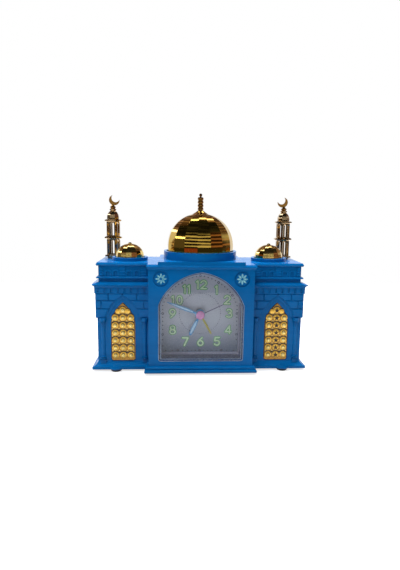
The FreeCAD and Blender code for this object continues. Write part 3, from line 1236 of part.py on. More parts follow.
for side in (-1, 1):
    for x, z in ((S.post_x, S.post_low), (S.post_x, S.post_high), (S.post_mid_x, S.post_high)):
        cover_cuts.append(bar_y("screw_clearance", S.screw_radius + S.screw_fit, outer, cover_face + 1, x * side, z))
        cover_cuts.append(bar_y("screw_counterbore", S.screw_head_radius + S.screw_fit, outer,
                                rear_face + S.screw_head_height, x * side, z))
        screws.append(join("screw", [
            bar_y("screw_head", S.screw_head_radius, rear_face, rear_face + S.screw_head_height, x * side, z),
            bar_y("screw_shank", S.screw_radius, rear_face, rear_face + S.screw_length, x * side, z)]))
node("rear_cover", cut("rear_cover_solid", cover, cover_cuts))
screw_group = doc.addObject("Part::Compound", "screw_group")
screw_group.Links = screws
node("cover_screws", screw_group)

# ---------------------------------------------------------------- check and write

doc.recompute()
bad = [o.Name for o in doc.Objects if "Invalid" in o.State or "Error" in o.State]
if bad:
    raise RuntimeError("failed features: " + ", ".join(bad))
for thing in NODES:
    if thing.Shape.isNull() or not thing.Shape.isValid() or not thing.Shape.Solids:
        raise RuntimeError("bad shape: " + thing.Label)
for thing in NODES:
    shape = thing.Shape
    edge = shape.BoundBox
    print("%-22s solids %d  volume %10.1f  x %.1f..%.1f  y %.1f..%.1f  z %.1f..%.1f" % (
        thing.Label, len(shape.Solids), shape.Volume, edge.XMin, edge.XMax, edge.YMin, edge.YMax,
        edge.ZMin, edge.ZMax))
    shape.exportStep("parts/%s.step" % thing.Label)
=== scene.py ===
import math
import bpy
from mathutils import Matrix, Vector


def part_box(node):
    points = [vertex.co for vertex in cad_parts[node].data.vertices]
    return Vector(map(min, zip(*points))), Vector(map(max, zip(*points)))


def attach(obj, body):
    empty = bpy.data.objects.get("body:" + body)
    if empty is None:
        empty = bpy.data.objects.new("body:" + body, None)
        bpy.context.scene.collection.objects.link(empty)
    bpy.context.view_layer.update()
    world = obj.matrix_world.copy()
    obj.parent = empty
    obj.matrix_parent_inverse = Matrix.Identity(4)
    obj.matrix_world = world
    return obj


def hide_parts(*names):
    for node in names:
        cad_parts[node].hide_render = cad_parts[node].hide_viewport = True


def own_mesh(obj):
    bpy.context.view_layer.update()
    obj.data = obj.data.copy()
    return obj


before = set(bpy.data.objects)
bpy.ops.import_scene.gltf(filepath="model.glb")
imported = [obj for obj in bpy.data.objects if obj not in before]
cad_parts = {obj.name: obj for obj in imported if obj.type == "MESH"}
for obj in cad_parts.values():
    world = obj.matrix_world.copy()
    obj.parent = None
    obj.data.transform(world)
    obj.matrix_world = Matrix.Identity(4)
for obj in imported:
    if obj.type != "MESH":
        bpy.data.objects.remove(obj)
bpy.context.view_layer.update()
scene = bpy.context.scene
MM = 0.001
HUB = 52.7                                      # height of the hands' axis, mm

# ---------------------------------------------------------------- camera

YAW, PITCH, ROLL = 3.23, -9.18, 0.72            # degrees, solved from landmarks of the photograph
EYE = (-0.024, -0.432, 0.1483)
SENSOR, FOCAL_PIXELS, PHOTO_PIXELS = 36.0, 448.1, 570.0


def photo_camera():
    """Gives the scene the photograph's camera: its place, direction and lens."""
    yaw, pitch, roll = math.radians(YAW), math.radians(PITCH), math.radians(ROLL)
    ahead = Vector((math.sin(yaw) * math.cos(pitch), math.cos(yaw) * math.cos(pitch), math.sin(pitch)))
    level = Vector((math.cos(yaw), -math.sin(yaw), 0.0))
    upright = level.cross(ahead)
    right = level * math.cos(roll) + upright * math.sin(roll)
    up = upright * math.cos(roll) - level * math.sin(roll)
    lens = bpy.data.cameras.new("camera")
    lens.sensor_width = SENSOR
    lens.lens = SENSOR * FOCAL_PIXELS / PHOTO_PIXELS
    camera = bpy.data.objects.new("camera", lens)
    rows = [(r, u, -a, e) for r, u, a, e in zip(right, up, ahead, EYE)]
    camera.matrix_world = Matrix(rows + [(0, 0, 0, 1)])
    scene.collection.objects.link(camera)
    scene.camera = camera


photo_camera()
scene.view_settings.view_transform = "Standard"

# ---------------------------------------------------------------- materials

PAINT_DEPTH, PAINT_EDGE = 0.00016, 0.00004      # of the painted rosettes, m
CRESCENT_FOOT = (0.1505, 0.1515)                # heights between which the towers' gold turns brown
CARD_PAINTED_SHADE = (0.018, 0.046)                     # heights between which the painted shade on the card's lower part ends
HUB_EDGE = (0.0048, 0.0052)                     # radii between which the alarm hand's hub ends


def linear(rgb):
    """Scene colour of an sRGB colour given as 0 to 255."""
    return tuple(((c / 255.0 + 0.055) / 1.055) ** 2.4 if c > 10 else c / 255.0 / 12.92 for c in rgb) + (1.0,)


def shade(rgb, factor):
    """The same, lighter or darker."""
    return tuple(min(1.0, c * factor) for c in linear(rgb)[:3]) + (1.0,)


class Nodes:
    """Short calls for a node tree; place is the coordinate that its textures follow."""

    def __init__(self, tree, coordinate):
        self.tree = tree
        self.place = self.new("ShaderNodeTexCoord").outputs[coordinate]

    def new(self, kind, **props):
        made = self.tree.nodes.new(kind)
        for key, value in props.items():
            setattr(made, key, value)
        return made

    def link(self, source, target):
        self.tree.links.new(source, target)

    def feed(self, target, value):
        if isinstance(value, bpy.types.NodeSocket):
            self.link(value, target)
        else:
            target.default_value = value

    def noise(self, scale, detail=3.0, stretch=None):
        made = self.new("ShaderNodeTexNoise")
        made.inputs["Scale"].default_value = scale
        made.inputs["Detail"].default_value = detail
        source = self.place
        if stretch:
            mapping = self.new("ShaderNodeMapping")
            mapping.inputs["Scale"].default_value = stretch
            self.link(source, mapping.inputs["Vector"])
            source = mapping.outputs["Vector"]
        self.link(source, made.inputs["Vector"])
        return made.outputs["Fac"]

    def ramp(self, source, stops):
        made = self.new("ShaderNodeValToRGB")
        while len(made.color_ramp.elements) < len(stops):
            made.color_ramp.elements.new(0.5)
        for element, (at, colour) in zip(made.color_ramp.elements, stops):
            element.position = at
            element.color = colour
        self.link(source, made.inputs["Fac"])
        return made.outputs["Color"]

    def spread(self, source, low, high, start=0.3, end=0.7):
        made = self.new("ShaderNodeMapRange")
        for name, value in (("From Min", start), ("From Max", end), ("To Min", low), ("To Max", high)):
            made.inputs[name].default_value = value
        self.link(source, made.inputs["Value"])
        return made.outputs["Result"]

    def math(self, kind, a, b=0.0):
        made = self.new("ShaderNodeMath", operation=kind)
        self.feed(made.inputs[0], a)
        self.feed(made.inputs[1], b)
        return made.outputs["Value"]

    def mix(self, factor, a, b):
        """Blend of two colours; the node's colour sockets can only be told apart by number."""
        made = self.new("ShaderNodeMix", data_type="RGBA")
        self.feed(made.inputs["Factor"], factor)
        self.feed(made.inputs[6], a)
        self.feed(made.inputs[7], b)
        return made.outputs[2]

    def axis(self, name):
        made = self.new("ShaderNodeSeparateXYZ")
        self.link(self.place, made.inputs["Vector"])
        return made.outputs[name]

    def ray(self, name):
        return self.new("ShaderNodeLightPath").outputs[name]


class Surface(Nodes):
    """A new material with its Principled shader."""

    def __init__(self, name):
        self.material = bpy.data.materials.new(name)
        self.material.use_nodes = True
        super().__init__(self.material.node_tree, "Object")
        self.shader = self.tree.nodes["Principled BSDF"]

    def bump(self, source, distance, strength=1.0, rounding=0.0):
        made = self.new("ShaderNodeBump")
        made.inputs["Distance"].default_value = distance
        made.inputs["Strength"].default_value = strength
        self.link(source, made.inputs["Height"])
        if rounding:
            bevel = self.new("ShaderNodeBevel", samples=4)
            bevel.inputs["Radius"].default_value = rounding
            self.link(bevel.outputs["Normal"], made.inputs["Normal"])
        self.link(made.outputs["Normal"], self.shader.inputs["Normal"])

    def set(self, **values):
        for key, value in values.items():
            self.shader.inputs[key.replace("_", " ")].default_value = value


def finish(name, rgb, rough, metal=0.0, spread=0.08, scale=90.0, bump=0.00002, grain=900.0,
           rounding=0.0, specular=0.5):
    """A moulded, cast or plated finish: tone, gloss and surface vary a little over the piece."""
    n = Surface(name)
    tone = n.ramp(n.noise(scale), [(0.3, shade(rgb, 1.0 - spread)), (0.7, shade(rgb, 1.0 + spread))])
    gloss = n.spread(n.noise(scale * 2.3, 5.0), rough * 0.8, min(1.0, rough * 1.25))
    n.link(tone, n.shader.inputs["Base Color"])
    n.link(gloss, n.shader.inputs["Roughness"])
    n.bump(n.noise(grain, 2.0), bump, 0.6, rounding)
    n.set(Metallic=metal, Specular_IOR_Level=specular)
    return n.material


def blue_plastic(name, relief=None):
    """Glossy moulded plastic: cloudy tone, flow lines, fine dust on the ledges.

    Where relief is given, what stands further forward than that y is painted.
    """
    n = Surface(name)
    cloud = n.ramp(n.noise(22.0, 4.0), [(0.3, linear((1, 85, 145))), (0.7, linear((3, 96, 162)))])
    tone = n.mix(n.spread(n.noise(70.0, 3.0, (1.0, 1.0, 6.0)), 0.0, 0.25), cloud, linear((8, 108, 177)))
    facing = n.new("ShaderNodeSeparateXYZ")
    n.link(n.new("ShaderNodeNewGeometry").outputs["Normal"], facing.inputs["Vector"])
    specks = n.spread(n.noise(1500.0, 2.0), 0.0, 0.4, 0.66, 0.8)
    dust = n.math("MULTIPLY", specks, n.math("MAXIMUM", facing.outputs["Z"], 0.02))
    tone = n.mix(dust, tone, linear((150, 195, 228)))
    if relief:
        paint = n.ramp(n.noise(900.0, 3.0), [(0.35, linear((70, 150, 178))), (0.65, linear((150, 205, 214)))])
        tone = n.mix(n.spread(n.axis("Y"), 1.0, 0.0, relief - PAINT_EDGE, relief + PAINT_EDGE), tone, paint)
    n.link(tone, n.shader.inputs["Base Color"])
    n.link(n.spread(n.noise(160.0, 5.0), 0.13, 0.26), n.shader.inputs["Roughness"])
    n.bump(n.noise(420.0, 3.0), 0.000015, 0.5, 0.00035)
    n.set(Specular_IOR_Level=0.09)
    return n.material


def gold(name, rgb, rough, ripple, rounding=0.0, top=None):
    """Vacuum-plated gold over plastic, nearly a mirror, with faint ripples; top colours the crescents."""
    n = Surface(name)
    tone = n.ramp(n.noise(45.0, 4.0), [(0.25, shade(rgb, 0.82)), (0.5, linear(rgb)), (0.78, shade(rgb, 1.1))])
    thin = n.spread(n.noise(700.0, 3.0), 0.0, 0.5, 0.68, 0.85)
    tone = n.mix(thin, tone, linear((120, 70, 30)))
    if top:
        tone = n.mix(n.spread(n.axis("Z"), 0.0, 1.0, *CRESCENT_FOOT), tone, linear(top))
    n.link(tone, n.shader.inputs["Base Color"])
    n.link(n.spread(n.noise(240.0, 5.0), rough * 0.7, rough * 1.5), n.shader.inputs["Roughness"])
    n.bump(n.noise(110.0, 2.0), ripple, 0.7, rounding)
    n.set(Metallic=1.0)
    return n.material


def cast_gold(name, rgb, rough):
    """Gold lacquer on a fine casting: half metal, half pigment, so that it also takes soft light."""
    n = Surface(name)
    tone = n.ramp(n.noise(260.0, 4.0), [(0.3, shade(rgb, 0.8)), (0.7, shade(rgb, 1.08))])
    n.link(n.mix(n.spread(n.noise(900.0, 3.0), 0.0, 0.6, 0.62, 0.8), tone, linear((110, 56, 30))),
           n.shader.inputs["Base Color"])
    n.link(n.spread(n.noise(500.0, 4.0), rough * 0.7, rough * 1.4), n.shader.inputs["Roughness"])
    n.bump(n.noise(600.0, 2.0), 0.00003, 0.6, 0.0002)
    n.set(Metallic=0.45)
    return n.material


def dial_card():
    """Silver-lilac printed card with a fine metallic grain; towards its foot it is darker, as painted shade.
    """
    n = Surface("dial_card")
    grain = n.ramp(n.noise(3200.0, 2.0), [(0.3, linear((143, 150, 166))), (0.7, linear((157, 164, 179)))])
    cloud = n.mix(n.spread(n.noise(60.0, 3.0), 0.0, 0.35), grain, linear((162, 169, 183)))
    # painted shade: towards the foot the card turns to these darker colours
    low = n.ramp(n.noise(1700.0, 2.0), [(0.3, linear((78, 92, 116))), (0.7, linear((94, 109, 133)))])
    n.link(n.mix(n.spread(n.axis("Z"), 0.0, 1.0, *CARD_PAINTED_SHADE), low, cloud), n.shader.inputs["Base Color"])
    n.link(n.spread(n.noise(900.0, 3.0), 0.38, 0.55), n.shader.inputs["Roughness"])
    n.bump(n.noise(5200.0, 1.0), 0.000008, 0.5)
    n.set(Metallic=0.15)
    return n.material


def crystal_plastic():
    """Clear pane; lamps shine through it onto the dial. Its low IOR keeps the floor's reflection faint."""
    n = Surface("clear_plastic")
    n.link(n.ramp(n.noise(70.0, 3.0), [(0.3, (0.95, 0.965, 0.98, 1)), (0.7, (0.985, 0.99, 1.0, 1))]),
           n.shader.inputs["Base Color"])
    n.link(n.spread(n.noise(260.0, 4.0), 0.0, 0.02), n.shader.inputs["Roughness"])
    n.bump(n.noise(35.0, 2.0), 0.00001, 0.3)
    n.set(Transmission_Weight=1.0, IOR=1.3, Specular_IOR_Level=0.25)
    through = n.new("ShaderNodeBsdfTransparent")
    through.inputs["Color"].default_value = (0.86, 0.88, 0.9, 1)
    pane = n.new("ShaderNodeMixShader")
    n.link(n.ray("Is Shadow Ray"), pane.inputs["Fac"])
    n.link(n.shader.outputs["BSDF"], pane.inputs[1])
    n.link(through.outputs["BSDF"], pane.inputs[2])
    n.link(pane.outputs["Shader"], n.tree.nodes["Material Output"].inputs["Surface"])
    return n.material


def olive_hand():
    """Painted alarm hand: dark green hub, olive-yellow blade."""
    n = Surface("hand_olive")
    x = n.axis("X")
    z = n.math("SUBTRACT", n.axis("Z"), HUB * MM)
    reach = n.math("SQRT", n.math("ADD", n.math("MULTIPLY", x, x), n.math("MULTIPLY", z, z)))
    blade = n.ramp(n.noise(500.0), [(0.3, linear((140, 134, 40))), (0.7, linear((164, 156, 62)))])
    hub = n.ramp(n.noise(500.0), [(0.3, linear((38, 56, 34))), (0.7, linear((54, 74, 46)))])
    n.link(n.mix(n.spread(reach, 0.0, 1.0, *HUB_EDGE), hub, blade), n.shader.inputs["Base Color"])
    n.link(n.spread(n.noise(300.0), 0.3, 0.45), n.shader.inputs["Roughness"])
    n.bump(n.noise(900.0), 0.00002, 0.4)
    return n.material


BLUE = blue_plastic("blue_plastic")
PAINTED = blue_plastic("painted_relief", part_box("medallion_left")[0][1] + PAINT_DEPTH)
GOLD = gold("gold_plating", (198, 163, 74), 0.05, 0.00006, 0.0004)
GOLD_SMALL = gold("gold_small_domes", (238, 208, 128), 0.09, 0.00005, 0.0003)
# The lattice's base gold is darker, as painted shade, and its bosses and studs lighter, as painted highlight;
# the scallops keep the plain gold.
GOLD_LATTICE_PAINTED_SHADE = cast_gold("gold_lattice_painted_shade", (158, 116, 44), 0.3)
GOLD_SCALLOP = cast_gold("gold_scallops", (226, 178, 70), 0.3)
GOLD_BOSS_PAINTED_HIGHLIGHT = cast_gold("gold_bosses_painted_highlight", (252, 222, 136), 0.25)
GOLD_TOWER = gold("gold_towers", (190, 166, 132), 0.08, 0.00005, 0.0002, (140, 104, 52))
MATERIALS = {
    "steel": finish("steel", (176, 178, 182), 0.3, 1.0, 0.1, 200.0),
    "brass": finish("brass", (206, 166, 84), 0.28, 1.0),
    "black_plastic": finish("black_plastic", (26, 26, 28), 0.42, 0.0, 0.25, 140.0, 0.00003, 700.0),
    "black_rubber": finish("black_rubber", (30, 29, 30), 0.75, 0.0, 0.3, 300.0, 0.00006, 1500.0),
    "grey_steel": finish("grey_steel", (120, 122, 126), 0.4, 0.9),
    "cone_paper": finish("cone_paper", (38, 36, 36), 0.85, 0.0, 0.3, 900.0, 0.00008, 1400.0),
    "magnet": finish("magnet", (70, 70, 74), 0.5, 0.6, 0.2, 400.0),
    "board_green": finish("board_green", (36, 92, 52), 0.35, 0.0, 0.15, 250.0),
    "hand_blue": finish("hand_blue", (84, 150, 200), 0.35, 0.0, 0.08, 400.0),
    "hand_grey": finish("hand_grey", (128, 118, 146), 0.4, 0.2, 0.1, 400.0),
    "cap_pink": finish("cap_pink", (172, 108, 160), 0.32, 0.0, 0.1, 300.0, 0.00003, 900.0, 0.0003),
    "hand_olive": olive_hand(),
    "dial_card": dial_card(),
    "clear_plastic": crystal_plastic(),
    "blue_plastic": BLUE,
    "gold_plating": GOLD,
}
NODE_SLOTS = {
    "blue_plastic": ["case_shell", "rear_cover", "medallion_left", "medallion_right", "switch_hangers",
                     "battery_door"],
    "steel": ["cover_screws", "battery_contacts", "dome_spring", "dome_retainer"],
    "clear_plastic": ["crystal"], "dial_card": ["dial"],
    "gold_plating": ["lattice_left", "lattice_right", "small_dome_left", "small_dome_right", "minaret_left",
                     "minaret_right", "main_dome", "dome_finial"],
    "black_rubber": ["rubber_feet"],
    "black_plastic": ["movement_front", "movement_back", "battery_tray", "board_components", "tact_switch",
                      "alarm_switch_case", "time_set_knob", "alarm_set_knob", "alarm_switch_slider"],
    "grey_steel": ["speaker_basket"], "cone_paper": ["speaker_cone"], "magnet": ["speaker_magnet"],
    "board_green": ["sound_board", "switch_board"], "hand_blue": ["minute_hand", "hour_hand"],
    "brass": ["centre_arbor"], "hand_olive": ["alarm_hand"], "hand_grey": ["second_hand"],
    "cap_pink": ["hand_cap"],
}


def dress(name, material):
    """Gives a CAD node one material in all its slots."""
    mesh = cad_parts[name].data
    if not mesh.materials:
        mesh.materials.append(material)
    for i in range(len(mesh.materials)):
        mesh.materials[i] = material


for slot, names in NODE_SLOTS.items():
    for name in names:
        dress(name, MATERIALS[slot])
for names, material in ((("lattice_left", "lattice_right"), GOLD_LATTICE_PAINTED_SHADE),
                        (("medallion_left", "medallion_right"), PAINTED),
                        (("minaret_left", "minaret_right", "dome_finial"), GOLD_TOWER),
                        (("small_dome_left", "small_dome_right"), GOLD_SMALL)):
    for name in names:
        dress(name, material)

# ---------------------------------------------------------------- mesh building

STROKE_STEP = 0.0012                            # overlapping pieces of a stroke never share a plane


def circle(x, z, radius, count):
    """Points round a circle, counter-clockwise from the right."""
    return [(x + radius * math.cos(2 * math.pi * i / count), z + radius * math.sin(2 * math.pi * i / count))
            for i in range(count)]


class Build:
    """Collects closed solids, in millimetres, into one mesh. f is the distance towards the viewer."""

    def __init__(self, side=1):
        self.side = side
        self.points = []
        self.faces = []

    def add(self, points, faces):
        """Adds a closed solid; on side -1 it is mirrored to negative x."""
        start = len(self.points)
        self.points += [(x * MM * self.side, -f * MM, z * MM) for x, f, z in points]
        self.faces += [[start + i for i in face[::self.side]] for face in faces]

    def plate(self, outline, back, front, edge=0.0):
        """Plate with an (x, z) outline, counter-clockwise from the front, and a chamfered front edge."""
        count = len(outline)
        inner = inset(outline, edge) if edge else outline
        rows = [[(x, back, z) for x, z in outline], [(x, front - edge, z) for x, z in outline]]
        if edge:
            rows.append([(x, front, z) for x, z in inner])
        points = [p for row in rows for p in row]
        faces = [list(range(count))[::-1], [len(points) - count + i for i in range(count)]]
        for r in range(len(rows) - 1):
            for i in range(count):
                a, b = r * count + i, r * count + (i + 1) % count
                faces.append([a, b, b + count, a + count])
        self.add(points, faces)

    def disc(self, x, z, radius, back, front, count=20):
        self.plate(circle(x, z, radius, count), back, front)

    def square(self, x, z, half, back, front):
        self.plate([(x - half, z - half), (x + half, z - half), (x + half, z + half), (x - half, z + half)],
                   back, front)

    def stroke(self, path, half, back, front):
        """A line of even width along a path, with round ends and corners."""
        for (x0, z0), (x1, z1) in zip(path, path[1:] + path[-1:]):
            front += STROKE_STEP
            self.disc(x0, z0, half, back, front, 12)
            front += STROKE_STEP
            run = Vector((x1 - x0, z1 - z0))
            if run.length > 1e-6:
                off = Vector((-run.y, run.x)) * (half / run.length)
                self.plate([(x0 - off.x, z0 - off.y), (x1 - off.x, z1 - off.y), (x1 + off.x, z1 + off.y),
                            (x0 + off.x, z0 + off.y)], back, front)

    def band(self, outer, inner, back, front):
        """Closed ring between two outlines with as many points each."""
        count = len(outer)
        points = [(x, f, z) for f in (back, front) for row in (outer, inner) for x, z in row]
        faces = []
        for i in range(count):
            j = (i + 1) % count
            o0, i0, o1, i1 = i, count + i, 2 * count + i, 3 * count + i
            p0, q0, p1, q1 = j, count + j, 2 * count + j, 3 * count + j
            faces += [[o1, p1, q1, i1], [o0, i0, q0, p0], [o0, p0, p1, o1], [i0, i1, q1, q0]]
        self.add(points, faces)

    def hoop(self, x, z, outer, inner, back, front, count=24):
        """Flat ring."""
        points = []
        for radius, f in ((outer, back), (outer, front), (inner, front), (inner, back)):
            points += [(px, f, pz) for px, pz in circle(x, z, radius, count)]
        faces = []
        for r in range(4):
            for i in range(count):
                j = (i + 1) % count
                n = ((r + 1) % 4) * count
                faces.append([r * count + i, r * count + j, n + j, n + i])
        self.add(points, faces)

    def tube(self, path, radius, sides=8):
        """Round bar along (x, f, z) points, with closed ends."""
        points, faces = [], []
        for i, here in enumerate(path):
            before, after = Vector(path[max(i - 1, 0)]), Vector(path[min(i + 1, len(path) - 1)])
            way = (after - before).normalized()
            side = way.cross(Vector((0, 0, 1)))
            side = side.normalized() if side.length > 0.01 else Vector((1, 0, 0))
            other = way.cross(side)
            for k in range(sides):
                a = 2 * math.pi * k / sides
                points.append(tuple(Vector(here) + (side * math.cos(a) + other * math.sin(a)) * radius))
        for i in range(len(path) - 1):
            for k in range(sides):
                j = (k + 1) % sides
                faces.append([i * sides + k, i * sides + j, (i + 1) * sides + j, (i + 1) * sides + k])
        faces.append(list(range(sides))[::-1])
        faces.append([(len(path) - 1) * sides + k for k in range(sides)])
        self.add(points, faces)

    def dome(self, x, z, radius, back, height, rings=4, count=14):
        """Low round boss that rises towards the viewer."""
        points = []
        for r in range(rings):
            a = 0.5 * math.pi * r / rings
            for i in range(count):
                t = 2 * math.pi * i / count
                points.append((x + radius * math.cos(a) * math.cos(t), back + height * math.sin(a),
                               z + radius * math.cos(a) * math.sin(t)))
        points.append((x, back + height, z))
        faces = [list(range(count))[::-1]]
        for r in range(rings - 1):
            for i in range(count):
                j = (i + 1) % count
                faces.append([r * count + i, r * count + j, (r + 1) * count + j, (r + 1) * count + i])
        for i in range(count):
            faces.append([(rings - 1) * count + i, (rings - 1) * count + (i + 1) % count, rings * count])
        self.add(points, faces)

    def make(self, name, material, body="case", slot=None, smooth=False):
        """Turns what was collected into a scene object that rides on a body."""
        mesh = bpy.data.meshes.new(name)
        mesh.from_pydata(self.points, [], self.faces)
        mesh.validate()
        mesh.materials.append(material)
        if smooth:
            mesh.shade_smooth()
        made = bpy.data.objects.new(name, mesh)
        scene.collection.objects.link(made)
        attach(made, body)
        return made


def inset(outline, amount):
    """Moves each side of a counter-clockwise outline inwards by the same amount."""
    count = len(outline)
    moved = []
    for i in range(count):
        p, q, r = (Vector(outline[(i + k) % count]) for k in (-1, 0, 1))
        a, b = (q - p).normalized(), (r - q).normalized()
        na, nb = Vector((-a.y, a.x)), Vector((-b.y, b.x))
        lean = na + nb
        moved.append(tuple(q + lean * (amount / max(0.3, 1 + na.dot(nb)))))
    return moved


def turned(points, angle):
    """Turns hand outlines drawn upwards from the hub to an angle clockwise from twelve."""
    a = math.radians(angle)
    return [(x * math.cos(a) + z * math.sin(a), HUB - x * math.sin(a) + z * math.cos(a)) for x, z in points]


# ---------------------------------------------------------------- dial print

CARD = 12.0                                     # front of the dial card
GREEN = finish("print_green", (34, 142, 50), 0.5, 0.0, 0.16, 700.0)
PALE = finish("print_pale", (172, 198, 168), 0.55, 0.0, 0.08, 700.0)
INK = finish("print_ink", (26, 24, 46), 0.55, 0.0, 0.2, 700.0)

NUMERALS = {12: (1.2, 80.7), 1: (15.9, 75.8), 2: (26.0, 66.1), 3: (28.2, 52.9), 4: (27.5, 36.6),
            5: (16.8, 25.0), 6: (0.8, 24.8), 7: (-13.8, 24.8), 8: (-26.2, 36.6), 9: (-26.4, 52.8),
            10: (-21.6, 65.8), 11: (-12.5, 76.3)}  # middles
PAIRS = {"10": (-3.9, 1.9), "11": (-2.1, 2.1), "12": (-3.4, 1.9)}  # shift of each digit
GREEN_HALF, PALE_HALF = 1.26, 0.68              # half widths of the strokes
GREEN_FRONT, PALE_FRONT = 0.02, 0.2             # heights of the print over the card
PATH_STEP = 0.08                                # between the paths of one digit


def bow(cx, cz, rx, rz, start, end, steps=14):
    """Points of an elliptical bow, angles in degrees."""
    angles = [math.radians(start + (end - start) * k / steps) for k in range(steps + 1)]
    return [(cx + rx * math.cos(a), cz + rz * math.sin(a)) for a in angles]


STROKES = {                                     # paths round the middle of each digit
    "0": [bow(0, 0, 2.35, 3.8, 90, 450, 24)],
    "1": [[(-1.5, 2.6), (0.0, 3.8), (0.0, -3.8)]],
    "2": [bow(0, 1.5, 2.5, 2.3, 165, -35) + [(-2.5, -3.8), (2.6, -3.8)]],
    "3": [bow(-0.2, 1.95, 2.15, 1.85, 150, -90), bow(-0.2, -1.8, 2.6, 2.0, 90, -150)],
    "4": [[(2.7, -1.9), (-2.6, -1.9), (1.3, 3.8), (1.3, -3.8)]],
    "5": [[(2.3, 3.8), (-1.7, 3.8), (-2.1, 0.5)] + bow(-0.1, -1.45, 2.5, 2.35, 125, -150)],
    "6": [[(1.5, 3.8), (-1.2, 1.2)] + bow(0, -1.45, 2.45, 2.35, 150, 510, 24)],
    "7": [[(-2.6, 3.8), (2.5, 3.8), (-1.0, -3.8)]],
    "8": [bow(0, 1.95, 2.0, 1.85, 90, 450, 20), bow(0, -1.8, 2.5, 2.0, 90, 450, 24)],
    "9": [[(-1.5, -3.8), (1.2, -1.2)] + bow(0, 1.45, 2.45, 2.35, -30, 330, 24)],
}


def numeral_layer(name, material, half, back, front):
    """All twelve numbers as one thin print layer of round-ended strokes, each 2 x half wide."""
    layer = Build()
    for number, (x, z) in NUMERALS.items():
        word = str(number)
        for digit, shift in zip(word, PAIRS.get(word, (0.0,))):
            for k, path in enumerate(STROKES[digit]):
                line = [(x + shift + px, z + pz) for px, pz in path]
                layer.stroke(line, half, back, front + PATH_STEP * k)
    layer.make(name, material, slot="dial_card")


numeral_layer("numerals_green", GREEN, GREEN_HALF, CARD, CARD + GREEN_FRONT)
numeral_layer("numerals_pale", PALE, PALE_HALF, CARD + GREEN_FRONT, CARD + PALE_FRONT)

TRACK = [(0, 36.7), (12, 35.7), (30, 34.8), (45, 35.0), (60, 35.6), (78, 36.4)]  # degrees, distance from hub
TRACK_SIDE, TRACK_LOW = 35.7, 36.7              # distances of its straight sides and bottom
TRACK_TURN = 78.5                               # degrees from twelve at which the sides begin
TRACK_DOT, HOUR_RING, TRACK_FRONT = 0.46, (1.15, 0.6), 0.03
INNER_CIRCLE, INNER_HOUR, INNER_MINUTE = 19.8, 0.42, 0.28


def track_point(minute):
    """Point of the minute track: round along the arch, straight down the sides and along the bottom."""
    a = math.radians(minute * 6.0)
    sx, sz = math.sin(a), math.cos(a)
    turn = abs((minute * 6.0 + 180.0) % 360.0 - 180.0)
    if turn < TRACK_TURN:
        for (t0, r0), (t1, r1) in zip(TRACK, TRACK[1:]):
            if turn <= t1 + 0.5:
                reach = r0 + (r1 - r0) * (turn - t0) / (t1 - t0)
                return reach * sx, HUB + reach * sz
    side = TRACK_SIDE / max(1e-6, abs(sx))
    low = TRACK_LOW / max(1e-6, -sz) if sz < 0 else side
    reach = min(side, low)
    return reach * sx, HUB + reach * sz


def minute_track():
    """Squares for the minutes and rings for the hours, then the inner circle of squares."""
    track = Build()
    for minute in range(60):
        x, z = track_point(minute)
        if minute % 5:
            track.square(x, z, TRACK_DOT, CARD, CARD + TRACK_FRONT)
        else:
            track.hoop(x, z, *HOUR_RING, CARD, CARD + TRACK_FRONT, 16)
    for minute in range(60):
        a = math.radians(6.0 * minute)
        x, z = INNER_CIRCLE * math.sin(a), HUB + INNER_CIRCLE * math.cos(a)
        track.square(x, z, INNER_MINUTE if minute % 5 else INNER_HOUR, CARD, CARD + TRACK_FRONT)
    track.make("minute_track", INK, slot="dial_card")


minute_track()

# ---------------------------------------------------------------- hands


def paint(name, body, slot, angle, forward, outline, material):
    """A raised paint layer on a hand; the outline gives its right side from the hub outwards."""
    made = Build()
    sides = outline + [(-x, z) for x, z in reversed(outline)]
    made.plate(turned(sides, angle), forward, forward + PAINT_THICKNESS, PAINT_CHAMFER)
    made.make(name, material, body, slot)


HAND_AZURE = finish("hand_azure", (52, 128, 184), 0.35, 0.0, 0.1, 400.0)
HAND_WHITE = finish("hand_white", (148, 186, 212), 0.4, 0.0, 0.08, 400.0)
HAND_OLIVE = finish("hand_yellow", (148, 142, 40), 0.35, 0.0, 0.12, 400.0)
HAND_LILAC = finish("hand_lilac", (80, 70, 104), 0.35, 0.1, 0.1, 400.0)
PAINT_THICKNESS, PAINT_CHAMFER = 0.1, 0.03
SECOND_BACK = -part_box("second_hand")[0][1] / MM - 0.02
# Each row has name, body, slot, degrees from twelve, back of the paint, right side of its outline, material.
for row in (
        ("minute_hand_paint", "minute_works", "hand_blue", 291.0, 17.29,
         [(0.9, 4.8), (1.35, 10.0), (1.45, 20.0), (1.1, 28.0), (0.35, 33.8)], HAND_AZURE),
        ("minute_hand_inlay", "minute_works", "hand_blue", 291.0, 17.35,
         [(0.3, 7.5), (0.75, 12.0), (0.8, 20.0), (0.5, 27.0), (0.15, 30.0)], HAND_WHITE),
        ("hour_hand_paint", "hour_works", "hand_blue", 205.5, 15.39,
         [(1.0, 4.8), (1.6, 10.0), (1.75, 16.0), (1.5, 21.0), (0.6, 22.8)], HAND_AZURE),
        ("hour_hand_inlay", "hour_works", "hand_blue", 205.5, 15.45,
         [(0.4, 7.5), (0.95, 11.0), (1.05, 16.0), (0.8, 19.8), (0.3, 21.0)], HAND_WHITE),
        ("alarm_hand_paint", "alarm_works", "hand_olive", 151.0, 13.49,
         [(0.95, 4.8), (1.0, 14.0), (0.9, 21.4), (0.5, 22.8)], HAND_OLIVE),
        ("second_hand_paint", "second_works", "hand_grey", 65.0, SECOND_BACK,
         [(0.42, 4.6), (0.42, 16.0), (0.36, 23.9)], HAND_LILAC)):
    paint(*row)

# ---------------------------------------------------------------- window rim and well, with painted highlight and shade bands

WINDOW_HALF, WINDOW_LOW, WINDOW_SHOULDER, WINDOW_APEX = 39.4, 12.4, 64.8, 95.5
WINDOW_RADIUS, WINDOW_CORNER, CORNER_LEAST = 47.5, 2.5, 0.3


